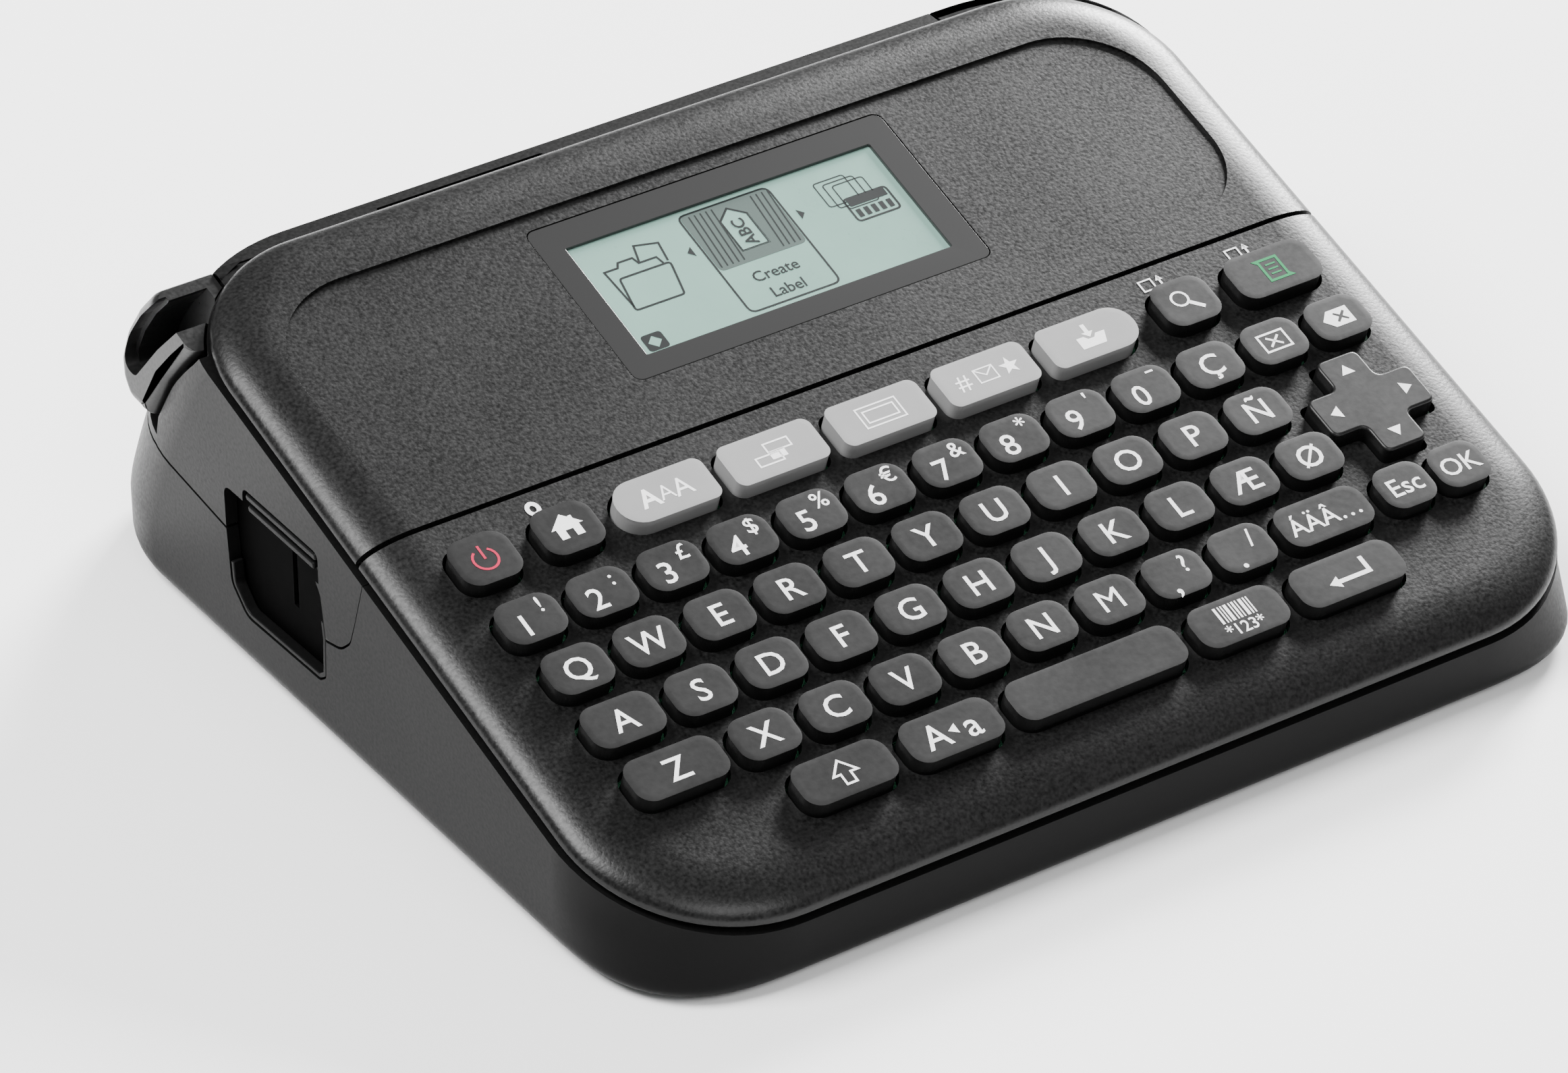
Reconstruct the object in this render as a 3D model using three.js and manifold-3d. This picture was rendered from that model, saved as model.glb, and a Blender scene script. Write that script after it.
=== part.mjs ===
// Desktop label maker: a wedge-shaped case with a sloping keyboard and screen, a tape bay behind
// a drop-down rear cover, a thumb-pressed cutter lever and a small thermal print mechanism.
// Millimetres, +X to the user's right, +Y to the back, +Z up. The origin is on the surface that
// the feet stand on, at the middle of the footprint.
import * as THREE from 'three';
import { mergeVertices } from 'three/addons/utils/BufferGeometryUtils.js';
import Module from 'manifold-3d';

const wasm = await Module();
wasm.setup();

// ---------------------------------------------------------------- driving dimensions
const WIDTH = 188; // overall, side to side
const DEPTH = 177; // overall, front to back
const LIFT = 2; // underside of the case above the surface
const FRONT_RIM_Z = 11.2; // height of the rim that the top covers sit on, at the front
const BACK_RIM_Z = 57.8; // and at its back edge
const BACK_STRIP = 2.2; // strip of rear cover seen behind the rim
const CORNER_R = 28; // plan corners of the case
const RIM_CORNER_R = 25; // back corners of the rim
const BOTTOM_EDGE = 3; // rounding of the case's bottom edge
const WALL = 2.2; // case and cover wall
const FIT = 0.4; // gap between mating shells
const CLEAR = 0.3; // gap between small parts that touch
const PANEL = 5; // top of the covers above the rim
const SHOULDER = 9; // how far the covers' rounded edge reaches inward
const COVER_INSET = 0.8; // covers stand this far inside the case's outer wall
const SCREEN_COVER_LENGTH = 64.75; // up the slope, from the covers' split to the rim's back edge

// Setback of the back wall from the overall depth, at heights above the underside.
const BACK_PROFILE = [[0, 1.6], [3, 0], [10, 0.3], [26, 7.4], [41, 16.3], [55.5, 28.5], [72, 47]];

const backCurve = new THREE.SplineCurve(BACK_PROFILE.map(([z, back]) => new THREE.Vector2(z, back)));
const backSamples = backCurve.getPoints(60);

function setbackAt(z) {
  const height = THREE.MathUtils.clamp(z - LIFT, 0, BACK_PROFILE.at(-1)[0]);
  const above = Math.max(1, backSamples.findIndex((p) => p.x >= height));
  const [low, high] = [backSamples[above - 1], backSamples[above]];
  return low.y + ((high.y - low.y) * (height - low.x)) / (high.x - low.x);
}

const SIDE = WIDTH / 2;
const LEFT = -SIDE;
const BACK = DEPTH / 2;
const FAR = 2 * (WIDTH + DEPTH); // longer than anything that it cuts
const RIM_BACK_Y = BACK - setbackAt(BACK_RIM_Z) - BACK_STRIP;
const TILT = Math.atan2(BACK_RIM_Z - FRONT_RIM_Z, RIM_BACK_Y + BACK); // slope of the rim
const RIM_BACK = RIM_BACK_Y / Math.cos(TILT); // rim's ends, measured up the slope
const RIM_FRONT = -BACK / Math.cos(TILT);
const RIM_Z = BACK_RIM_Z - RIM_BACK * Math.sin(TILT); // rim over the middle of the footprint
const COVER_SPLIT = RIM_BACK - SCREEN_COVER_LENGTH;

// Label tape, and the exit for it in the left wall.
const TAPE_WIDTH = 18;
const TAPE_Z = 30.3;
const TAPE_MID_Y = BACK - 70.5;
const TAPE_Y0 = TAPE_MID_Y - TAPE_WIDTH / 2;
const TAPE_Y1 = TAPE_MID_Y + TAPE_WIDTH / 2;
const EXIT = { y0: TAPE_Y0 - 3.6, y1: TAPE_Y1 + 8.8, z0: 10.4, z1: TAPE_Z + 2.9, corner: 2.5 };

// Seam between the base and the upper frame, seen from the side, front to back. Y from the exit.
const SEAM = [[-15.9, 48], [-13.1, 38.9], [-9.8, 28.6], [-8, 23.6], [-5, 20.9], [-0.6, 19.9],
  [30.6, 24.6], [53.4, 27.7], [100, 28.2]].map(([y, z]) => [EXIT.y0 + y, z]);

// Cutter lever: its front seam seen from the side, lower edge first, Y from the back.
const LEVER_SEAM = [[28.5, 33], [34.3, 41.7], [39.5, 47.4], [44.8, 52.7], [51.1, 60.6]]
  .map(([y, z]) => [BACK - y, z]);
const LEVER_INNER_X = LEFT + 12;
const LEVER_TRAVEL_GAP = 3.2; // below its lower edge
const LEVER_LEAD = 1.2; // ahead of its front edge
const LEVER_PIVOT = { y: TAPE_Y1 + 11, z: 36 };
const AXLE_R = 1.5;

// Rear cover.
const REAR = { x0: LEVER_INNER_X + FIT, x1: SIDE - 32.4, z0: 12.4, y0: RIM_BACK_Y + 0.6 };

// Keyboard: key and row spacing, and the land between two keys.
const KEY_PITCH = 13.05;
const ROW_PITCH = 11.61;
const LAND_U = 2.55;
const LAND_V = 3.31;
const KEY_W = KEY_PITCH - LAND_U;
const KEY_H = ROW_PITCH - LAND_V;
const WIDE_KEY = KEY_W + KEY_PITCH / 2;
const KEY_PROUD = 2.5; // key tops above the cover
const KEY_TRAVEL = 1.5;
const KEY_CORNER = 2.2;
const KEY_EDGE = 0.7;
const KEY_GAP = 0.5; // key to the edge of its opening
const FLANGE = 0.6; // how far a key's foot reaches under the cover
const FLANGE_T = 1;
const KEY_TOP = PANEL + KEY_PROUD;
const KEY_FOOT = PANEL - WALL - FLANGE_T - 0.5; // underside of the foot above the rim
const KEYBOARD_MID = 0.85;
const FUNCTION_V = COVER_SPLIT - 11;
const DIGIT_V = FUNCTION_V - 13.5;
const LETTER_V = DIGIT_V - ROW_PITCH;
const DIGIT_U = KEYBOARD_MID - 6 * KEY_PITCH; // first key of each row
const LETTER_U = DIGIT_U + 1.4;
const HOME_U = LETTER_U + 2.17;
const LOWER_U = LETTER_U + 6.52;

// Screen window.
const WINDOW = { mid: 0.8, width: 70, back: RIM_BACK - 16.55, height: 35.5, thick: 1.2, corner: 1.5 };

// Print mechanism: platen roller (X, Z), gears and motor.
const PLATEN = { x: LEFT + 14, z: TAPE_Z + 4.3, r: 4, shaft: 1.2 };
const GEAR_MODULE = 0.6;
const TEETH = { platen: 16, idler: 20, pinion: 12 };
const GEAR_Y = TAPE_Y1 + 5;
const GEAR_T = 2.2;
const MOTOR_R = 7.4;
const MOTOR_LEN = 20;

// ---------------------------------------------------------------- solids
const IDENTITY = new THREE.Matrix4();
const SIDEWAYS = new THREE.Matrix4().makeBasis( // shape (x, y) lies in (Y, Z), extruded along +X
  new THREE.Vector3(0, 1, 0), new THREE.Vector3(0, 0, 1), new THREE.Vector3(1, 0, 0));
const BACKWARDS = new THREE.Matrix4().makeBasis( // shape (x, y) lies in (X, Z), extruded along +Y
  new THREE.Vector3(-1, 0, 0), new THREE.Vector3(0, 0, 1), new THREE.Vector3(0, 1, 0));
const PANEL_FRAME = new THREE.Matrix4().makeRotationX(TILT).setPosition(0, 0, RIM_Z);

function solid(geometry, matrix = IDENTITY) {
  const bare = geometry.clone();
  bare.deleteAttribute('normal');
  bare.deleteAttribute('uv');
  bare.applyMatrix4(matrix);
  const merged = mergeVertices(bare, 1e-4);
  return new wasm.Manifold(new wasm.Mesh({
    numProp: 3,
    vertProperties: new Float32Array(merged.attributes.position.array),
    triVerts: new Uint32Array(merged.index.array),
  }));
}

function geometryOf(body) {
  const mesh = body.getMesh();
  const geometry = new THREE.BufferGeometry();
  geometry.setAttribute('position', new THREE.BufferAttribute(mesh.vertProperties, 3));
  geometry.setIndex(new THREE.BufferAttribute(mesh.triVerts, 1));
  return geometry;
}

function shapeOf(points) {
  return new THREE.Shape(points.map(([x, y]) => new THREE.Vector2(x, y)));
}

function extrude(shape, depth, options = {}) {
  return new THREE.ExtrudeGeometry(shape, { depth, bevelEnabled: false, curveSegments: 4, ...options });
}

function box(x0, x1, y0, y1, z0, z1, frame = IDENTITY) {
  const block = new THREE.BoxGeometry(x1 - x0, y1 - y0, z1 - z0);
  block.translate((x0 + x1) / 2, (y0 + y1) / 2, (z0 + z1) / 2);
  return solid(block, frame);
}

// A plate whose outline is drawn in (Y, Z), between two X values.
function plateYZ(points, x0, x1) {
  return solid(extrude(shapeOf(points), x1 - x0), SIDEWAYS).translate([x0, 0, 0]);
}

// A plate whose outline is drawn in (X, Z), between two Y values.
function plateXZ(points, y0, y1) {
  return solid(extrude(shapeOf(points.map(([x, z]) => [-x, z])), y1 - y0), BACKWARDS).translate([0, y0, 0]);
}

function rod(axis, r, a, b, from, to, sides = 16) {
  const cylinder = new THREE.CylinderGeometry(r, r, to - from, sides);
  if (axis === 'x') cylinder.rotateZ(-Math.PI / 2).translate((from + to) / 2, a, b);
  if (axis === 'y') cylinder.translate(a, (from + to) / 2, b);
  if (axis === 'z') cylinder.rotateX(Math.PI / 2).translate(a, b, (from + to) / 2);
  return solid(cylinder);
}

function joined(first, ...others) {
  return others.reduce((sum, other) => sum.add(other), first);
}

function cutBy(first, ...others) {
  return others.reduce((rest, other) => rest.subtract(other), first);
}

function roundedRect(x0, y0, x1, y1, r, backR = r) {
  const shape = new THREE.Shape();
  shape.moveTo(x0 + r, y0);
  shape.lineTo(x1 - r, y0);
  shape.absarc(x1 - r, y0 + r, r, -Math.PI / 2, 0);
  shape.lineTo(x1, y1 - backR);
  shape.absarc(x1 - backR, y1 - backR, backR, 0, Math.PI / 2);
  shape.lineTo(x0 + backR, y1);
  shape.absarc(x0 + backR, y1 - backR, backR, Math.PI / 2, Math.PI);
  shape.lineTo(x0, y0 + r);
  shape.absarc(x0 + r, y0 + r, r, Math.PI, Math.PI * 1.5);
  return shape;
}

function chamferedRect(u, v, w, h, c) {
  const [a, b] = [w / 2, h / 2];
  return [[u - a + c, v - b], [u + a - c, v - b], [u + a, v - b + c], [u + a, v + b - c],
    [u + a - c, v + b], [u - a + c, v + b], [u - a, v + b - c], [u - a, v - b + c]];
}

// ---------------------------------------------------------------- case envelope
// The whole case as one block: a rounded plan whose back half leans forward with height.
function envelope(inset, bottom) {
  const [x, y] = [SIDE - inset, BACK - inset];
  const edge = Math.max(0.8, BOTTOM_EDGE - inset);
  const top = LIFT + BACK_PROFILE.at(-1)[0] + 2;
  const block = extrude(roundedRect(-x, -y, x, y, CORNER_R - inset), top - bottom - 2 * edge, {
    steps: 8, bevelEnabled: true, bevelThickness: edge, bevelSize: edge, bevelOffset: -edge, bevelSegments: 2,
  });
  block.translate(0, 0, bottom + edge);
  const spots = block.attributes.position;
  for (let i = 0; i < spots.count; i += 1) {
    if (spots.getY(i) > 0) spots.setY(i, spots.getY(i) - setbackAt(spots.getZ(i)));
  }
  return solid(block);
}

function belowRim(drop) {
  return box(-FAR, FAR, -FAR, FAR, -FAR, -drop, PANEL_FRAME);
}

// Everything inside the rim's outline seen from above.
function rimColumn(inset) {
  const [x, front, back] = [SIDE - inset, -BACK + inset, RIM_BACK_Y - inset];
  return solid(extrude(roundedRect(-x, front, x, back, CORNER_R - inset, RIM_CORNER_R - inset), 90));
}

function upperRegion(gap) {
  const seam = SEAM.map(([y, z]) => [y - gap, z - gap]);
  return plateYZ([...seam, [seam.at(-1)[0], FAR], [seam[0][0], FAR]], -FAR, FAR);
}

const outer = envelope(0, LIFT);
const inner = envelope(WALL, LIFT + WALL);
const hollowCase = outer.subtract(inner);

// The space of the cutter lever, from its lower edge up. The wall ahead of its front edge keeps
// a lead for it to swing into.
function leverRegion(gap, bottom, lead = 0) {
  const seam = LEVER_SEAM.map(([y, z]) => [y + gap - lead, z]);
  return plateYZ([[seam[0][0], bottom], ...seam, [seam.at(-1)[0], FAR], [FAR, FAR], [FAR, bottom]],
    -FAR, LEVER_INNER_X - gap);
}

function rearRegion(gap) {
  return box(REAR.x0 - gap, REAR.x1 + gap, REAR.y0 - gap, FAR, REAR.z0 - gap, FAR);
}

function exitShape() {
  const [w, h] = [EXIT.y1 - EXIT.y0, EXIT.z1 - EXIT.z0];
  return chamferedRect(EXIT.y0 + w / 2, EXIT.z0 + h / 2, w, h, EXIT.corner);
}

// ---------------------------------------------------------------- shared places of the mechanism
const ARM = { x0: LEFT + 3.8, x1: LEFT + 7.8 };
const BLADE = { x: LEFT + 6.5, thick: 0.8, z0: 22 };
const CASSETTE = {
  x0: LEFT + 22, x1: LEFT + 80, y0: TAPE_Y0 - 2.5, y1: TAPE_Y1 + 3, z0: LIFT + WALL + 1, z1: TAPE_Z + 5.7,
};
const HEAD_Z = TAPE_Z - 8.4;
const STUD_R = 1.2;

// ---------------------------------------------------------------- case shells
const FOOT = { x: SIDE - 16, front: -BACK + 26.5, back: BACK - 32.5, r: 6, pocket: 0.8 };
const SCREW = {
  x: SIDE - 24, front: -BACK + 16.5, back: BACK - 22.5, head: 2.7, shank: 1.25, length: 9, recess: 1.6,
};
const JACK = { y: EXIT.y0 + 40.6, z: 14.5, r: 2.8, depth: 13, side: 9 };
const USB = { y: EXIT.y0 + 22.6, z: 13.6, w: 8, h: 3, depth: 9 };
const SIDES = [-1, 1];
const corners = (spot) => SIDES.flatMap((side) => [spot.front, spot.back].map((y) => [side * spot.x, y]));

function baseShell() {
  const floor = LIFT + WALL;
  let base = hollowCase.intersect(belowRim(0)).subtract(upperRegion(FIT));
  base = base.subtract(rearRegion(FIT));
  for (const [x, y] of corners(FOOT)) {
    base = base.subtract(rod('z', FOOT.r + CLEAR, x, y, 0, LIFT + FOOT.pocket));
  }
  for (const [x, y] of corners(SCREW)) {
    base = base.add(rod('z', SCREW.head + 1.8, x, y, floor - 0.5, floor + SCREW.recess + 1));
    base = base.subtract(rod('z', SCREW.head + CLEAR, x, y, 0, LIFT + SCREW.recess));
    base = base.subtract(rod('z', SCREW.shank + CLEAR, x, y, 0, floor + 5));
  }
  base = base.subtract(plateYZ(exitShape(), -FAR, LEFT + WALL + 1));
  base = base.subtract(rod('x', JACK.r + 1, JACK.y, JACK.z, SIDE - WALL - 1, FAR));
  const port = chamferedRect(USB.y, USB.z, USB.w + 1, USB.h + 1, 0.6);
  return base.subtract(plateYZ(port, SIDE - WALL - 1, FAR));
}

const FRONT_PLATE = { y0: TAPE_Y0 - 6.8, y1: TAPE_Y0 - 5.4 };
const BULKHEAD = { y0: FRONT_PLATE.y0 - 3.8, thick: 1.6 };
const BEAM = { y0: RIM_BACK_Y - 7.1, y1: RIM_BACK_Y - 4.6, deep: 9 };

function upperFrame() {
  const walls = hollowCase.intersect(upperRegion(0)).intersect(belowRim(0));
  const cavity = envelope(WALL + FIT, LIFT + WALL + FIT);
  const bulkhead = box(-FAR, FAR, BULKHEAD.y0, BULKHEAD.y0 + BULKHEAD.thick, LIFT + WALL + 2, FAR);
  const beam = box(-FAR, FAR, BEAM.y0, BEAM.y1, 0, FAR)
    .intersect(box(-FAR, FAR, 0, FAR, -BEAM.deep, 0, PANEL_FRAME));
  const webs = bulkhead.intersect(cavity).add(beam.intersect(outer)).intersect(belowRim(FIT));
  const bulkheadTie = bulkhead.intersect(outer).intersect(upperRegion(0)).intersect(belowRim(0));
  const ledgeZ = LEVER_SEAM[0][1] - LEVER_TRAVEL_GAP;
  const pocket = leverRegion(0, ledgeZ, LEVER_LEAD);
  const cornerWall = rimColumn(0).subtract(rimColumn(WALL)).intersect(pocket).intersect(outer)
    .intersect(belowRim(0));
  const ledge = outer.intersect(pocketFloor(ledgeZ)).subtract(rimColumn(WALL));
  let frame = joined(walls, webs, bulkheadTie).subtract(pocket).subtract(rearRegion(FIT));
  frame = joined(frame, cornerWall, ledge.subtract(rearRegion(FIT)));
  frame = frame.subtract(plateYZ(exitShape(), -FAR, LEFT + WALL + 1));
  frame = frame.subtract(leverArmPath());
  const boss = rod('x', 2 * AXLE_R, LEVER_PIVOT.y, LEVER_PIVOT.z, LEFT + 1, ARM.x0 - FIT);
  const axle = rod('x', AXLE_R, LEVER_PIVOT.y, LEVER_PIVOT.z, LEFT + 1, LEFT + 13);
  return joined(frame, boss, axle);
}

// The thin floor under the lever, which also joins the lever pocket's two walls.
function pocketFloor(z) {
  return box(-FAR, LEVER_INNER_X, LEVER_SEAM[0][0] - 24, FAR, z - 1.4, z);
}

function rearCover() {
  const shell = hollowCase.intersect(belowRim(0)).intersect(rearRegion(0));
  const rib = box(REAR.x0 + 3, REAR.x1 - 3, REAR.y0, FAR, REAR.z0 + 18, REAR.z0 + 19.6)
    .intersect(envelope(WALL - 0.5, LIFT)).subtract(envelope(WALL + 3, LIFT));
  return shell.add(rib);
}

// ---------------------------------------------------------------- top covers
const SCREW_BOSS = 3.2;
const BOSS_FOOT = LIFT + WALL + SCREW.recess + 1 + CLEAR;

function rimShape(inset) {
  return roundedRect(LEFT + inset, RIM_FRONT + inset, SIDE - inset, RIM_BACK - inset,
    CORNER_R - inset, RIM_CORNER_R - inset);
}

// The covers as one pillow on the rim: a plate with a wide rounded shoulder.
function pillow(inset, height, shoulder) {
  const under = 20;
  const block = extrude(rimShape(inset), under, {
    bevelEnabled: true, bevelThickness: height - 1, bevelSize: shoulder, bevelOffset: -shoulder,
    bevelSegments: 3,
  });
  block.translate(0, 0, 1 - under);
  return solid(block);
}

function windowShape(inset) {
  const [halfW, front] = [WINDOW.width / 2 - inset, WINDOW.back - WINDOW.height + inset];
  return roundedRect(WINDOW.mid - halfW, front, WINDOW.mid + halfW, WINDOW.back - inset, WINDOW.corner);
}

function coverShell() {
  const lining = pillow(COVER_INSET + WALL, PANEL - WALL, SHOULDER - 1);
  const skin = pillow(COVER_INSET, PANEL, SHOULDER).subtract(lining);
  return skin.intersect(box(-FAR, FAR, -FAR, FAR, FIT, FAR));
}

function screenCover() {
  const half = box(-FAR, FAR, COVER_SPLIT + FIT / 2, FAR, 0, FAR);
  const opening = solid(extrude(windowShape(0), 2 * PANEL, { curveSegments: 1 }));
  return coverShell().intersect(half).subtract(opening);
}

function keyboardCover(keys) {
  const half = box(-FAR, FAR, -FAR, COVER_SPLIT - FIT / 2, 0, FAR);
  let cover = coverShell().intersect(half);
  for (const key of keys) {
    cover = cover.subtract(solid(extrude(shapeOf(keyOutline(key, KEY_GAP)), 2 * PANEL)));
  }
  const toPanel = PANEL_FRAME.clone().invert();
  for (const side of [-1, 1]) {
    const [x, y] = [side * SCREW.x, SCREW.front];
    const tower = rod('z', SCREW_BOSS, x, y, BOSS_FOOT, BACK_RIM_Z, 12).transform(toPanel.elements);
    const bore = rod('z', SCREW.shank + CLEAR, x, y, 0, LIFT + SCREW.recess + SCREW.length + CLEAR, 12)
      .transform(toPanel.elements);
    const reach = box(-FAR, FAR, -FAR, FAR, -FAR, PANEL - WALL + 0.2);
    cover = cover.add(tower.intersect(reach)).subtract(bore);
  }
  return cover;
}

// ---------------------------------------------------------------- keys
const GREY_PITCH = 1.58 * KEY_PITCH;
const GREY_W = GREY_PITCH - LAND_U - 0.5;
const GREY_U = KEYBOARD_MID - 4.05 - 2 * GREY_PITCH;
const ROUND_W = KEY_W - 0.1;
const FUNCTION_H = KEY_H + 0.9;
const GREY_NAMES = ['key_text', 'key_style', 'key_frame', 'key_symbol', 'key_file'];
const BOTTOM_V = LETTER_V - 3 * ROW_PITCH;
const DPAD = {
  name: 'key_cursor', u: DIGIT_U + 11.56 * KEY_PITCH, v: LETTER_V - ROW_PITCH / 2,
  reach: Math.min(0.8 * KEY_PITCH, 0.9 * ROW_PITCH), arm: 0.4 * KEY_W,
};

// A row of character keys; its first key may reach further left than the others.
function rowKeys(name, count, firstU, v, extra = 0) {
  return Array.from({ length: count }, (_, i) => {
    const more = i === 0 ? extra : 0;
    return { name, u: firstU + i * KEY_PITCH - more / 2, v, w: KEY_W + more, h: KEY_H };
  });
}

// Keys side by side on one line, from a left edge: widths, and the gap before each.
function lineOfKeys(left, v, h, keys) {
  let edge = left;
  return keys.map(([name, w, gap]) => {
    const u = edge + gap + w / 2;
    edge += gap + w;
    return { name, u, v, w, h };
  });
}

const HOME_V = LETTER_V - ROW_PITCH;
const LOWER_V = LETTER_V - 2 * ROW_PITCH;
const ROWS = [
  rowKeys('keys_digits', 11, DIGIT_U, DIGIT_V),
  rowKeys('keys_upper', 11, LETTER_U, LETTER_V),
  rowKeys('keys_home', 11, HOME_U, HOME_V, 2.3),
  rowKeys('keys_lower', 9, LOWER_U, LOWER_V, 6.1),
];
const SPACE_W = KEY_W + 1.68 * KEY_PITCH;
const ENTER_W = KEY_W + 0.76 * KEY_PITCH;
const BOTTOM_GAP = LAND_U + 0.35;
const BOTTOM_LINE = 3 * WIDE_KEY + SPACE_W + ENTER_W + 4 * BOTTOM_GAP;
const GREY_LEFT = GREY_U - GREY_W / 2;
const GREY_RIGHT = GREY_LEFT + 4 * GREY_PITCH + GREY_W;
const SINGLE_KEYS = [
  ...lineOfKeys(GREY_LEFT - 2 * ROUND_W - 8.8, FUNCTION_V, FUNCTION_H,
    [['key_power', ROUND_W, 0], ['key_home', ROUND_W, 4.8]]),
  ...GREY_NAMES.map((name, i) => (
    { name, u: GREY_U + i * GREY_PITCH, v: FUNCTION_V, w: GREY_W, h: KEY_H + 0.3 })),
  ...lineOfKeys(GREY_RIGHT, FUNCTION_V, FUNCTION_H,
    [['key_search', ROUND_W, 5.5], ['key_print', WIDE_KEY - 0.6, 4.5]]),
  ...lineOfKeys(DIGIT_U + 11 * KEY_PITCH - KEY_W / 2, DIGIT_V, KEY_H,
    [['key_clear', KEY_W, 0], ['key_delete', KEY_W, LAND_U]]),
  DPAD,
  ...lineOfKeys(LOWER_U + 9 * KEY_PITCH - KEY_W / 2, LOWER_V, KEY_H,
    [['key_accent', WIDE_KEY, 0], ['key_escape', KEY_W - 1.1, LAND_U + 0.6],
      ['key_enter_small', KEY_W - 1.1, LAND_U - 0.8]]),
  ...lineOfKeys(-BOTTOM_LINE / 2, BOTTOM_V, KEY_H,
    [['key_shift', WIDE_KEY, 0], ['key_caps', WIDE_KEY, BOTTOM_GAP], ['key_space', SPACE_W, BOTTOM_GAP],
      ['key_barcode', WIDE_KEY, BOTTOM_GAP], ['key_enter', ENTER_W, BOTTOM_GAP]]),
];

function keyOutline(key, grow) {
  if (key !== DPAD) {
    return chamferedRect(key.u, key.v, key.w + 2 * grow, key.h + 2 * grow, KEY_CORNER);
  }
  const [r, a, c] = [DPAD.reach + grow, DPAD.arm + grow, 1.6];
  const quarter = [[r, -a + c], [r, a - c], [r - c, a], [a + c, a]];
  return [0, 1, 2, 3].flatMap((turn) => quarter.map(([x, y]) => {
    const [cos, sin] = [Math.round(Math.cos(turn * Math.PI / 2)), Math.round(Math.sin(turn * Math.PI / 2))];
    return [DPAD.u + x * cos - y * sin, DPAD.v + x * sin + y * cos];
  }));
}

function keyCap(key) {
  const cap = extrude(shapeOf(keyOutline(key, 0)), KEY_TOP - KEY_FOOT - 2 * KEY_EDGE, {
    bevelEnabled: true, bevelThickness: KEY_EDGE, bevelSize: KEY_EDGE, bevelOffset: -KEY_EDGE,
    bevelSegments: 1,
  });
  return solid(cap.translate(0, 0, KEY_FOOT + KEY_EDGE));
}

function keyFoot(outline) {
  return solid(extrude(shapeOf(outline), FLANGE_T).translate(0, 0, KEY_FOOT));
}

function singleKey(key) {
  return keyCap(key).add(keyFoot(keyOutline(key, key === DPAD ? CLEAR : FLANGE)));
}

function keyRow(row) {
  const [first, last] = [row[0], row.at(-1)];
  const [left, right] = [first.u - first.w / 2, last.u + last.w / 2];
  const strip = chamferedRect((left + right) / 2, first.v, right - left, KEY_H + 2 * FLANGE, 1);
  return joined(keyFoot(strip), ...row.map(keyCap));
}

// ---------------------------------------------------------------- screen and boards
function screenWindow() {
  const pane = extrude(windowShape(CLEAR), WINDOW.thick, { curveSegments: 1 });
  return solid(pane.translate(0, 0, PANEL - WINDOW.thick));
}

function screenModule() {
  const top = PANEL - WALL - CLEAR;
  const frame = solid(extrude(windowShape(1.5), 3.6).translate(0, 0, top - 3.6));
  return frame.subtract(solid(extrude(windowShape(4.5), 2).translate(0, 0, top - 0.8)));
}

const KEYPAD_BOARD_TOP = KEY_FOOT - KEY_TRAVEL - 0.5;

function keypadBoard() {
  const [back, front] = [COVER_SPLIT - 3.6, RIM_FRONT + 9];
  const outline = chamferedRect(0, (back + front) / 2, WIDTH - 12, back - front, 20);
  let board = solid(extrude(shapeOf(outline), 1.6).translate(0, 0, KEYPAD_BOARD_TOP - 1.6));
  const toPanel = PANEL_FRAME.clone().invert();
  for (const side of [-1, 1]) {
    const hole = rod('z', SCREW_BOSS + 0.6, side * SCREW.x, SCREW.front, 0, BACK_RIM_Z, 12);
    board = board.subtract(hole.transform(toPanel.elements));
  }
  return board;
}

function mainBoard() {
  const [under, thick, back] = [-8.6, 1.6, RIM_BACK - 16.5];
  const board = box(-8, SIDE - 10, back - 38, back, under, under + thick);
  const chips = [[8, 14], [34, 22], [60, 14]];
  const low = under + thick - 0.2;
  return joined(board, ...chips.map(([u, v]) => box(u, u + 12, back - v - 12, back - v, low, low + 1.6)));
}

// ---------------------------------------------------------------- cutter
const HUB_R = 3.4;

function leverArmOutline(grow) {
  const { y, z } = LEVER_PIVOT;
  const [heelY, heelZ] = LEVER_SEAM[0];
  return [[y - grow, z - 3 - grow], [heelY - 8 + grow, heelZ + 2 - grow], [heelY, heelZ + 4],
    [heelY - 4, heelZ + 12], [y - grow, z + 3 + grow]];
}

// The slot that the lever's arm swings in.
function leverArmPath() {
  return plateYZ(leverArmOutline(LEVER_TRAVEL_GAP), ARM.x0 - 1.2, ARM.x1 + 2)
    .subtract(box(-FAR, 0, -FAR, FAR, 0, LEVER_SEAM[0][1] - LEVER_TRAVEL_GAP));
}

function cutterLever() {
  const [pivotY, pivotZ] = [LEVER_PIVOT.y, LEVER_PIVOT.z];
  const cap = outer.intersect(leverRegion(FIT, LEVER_SEAM[0][1])).intersect(belowRim(0.6))
    .subtract(rimColumn(-1));
  const scoop = solid(new THREE.SphereGeometry(8, 20, 14).scale(0.7, 1.25, 1)
    .translate(LEFT + 6.4, BACK - 26, BACK_RIM_Z - 1.3));
  const arm = plateYZ(leverArmOutline(0), ARM.x0, ARM.x1);
  const hub = rod('x', HUB_R, pivotY, pivotZ, ARM.x0, ARM.x1 + 0.8);
  const tip = TAPE_Y1 - 5;
  const carrier = plateYZ([[pivotY, pivotZ - 3], [pivotY, pivotZ + 3], [tip + 6, TAPE_Z - 2.3],
    [tip, TAPE_Z - 4.3], [tip, BLADE.z0 + 0.5]], BLADE.x - CLEAR - 1.2, BLADE.x - CLEAR);
  return joined(cap.subtract(scoop), arm, hub, carrier)
    .subtract(rod('x', AXLE_R + CLEAR, pivotY, pivotZ, -FAR, 0));
}

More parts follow.
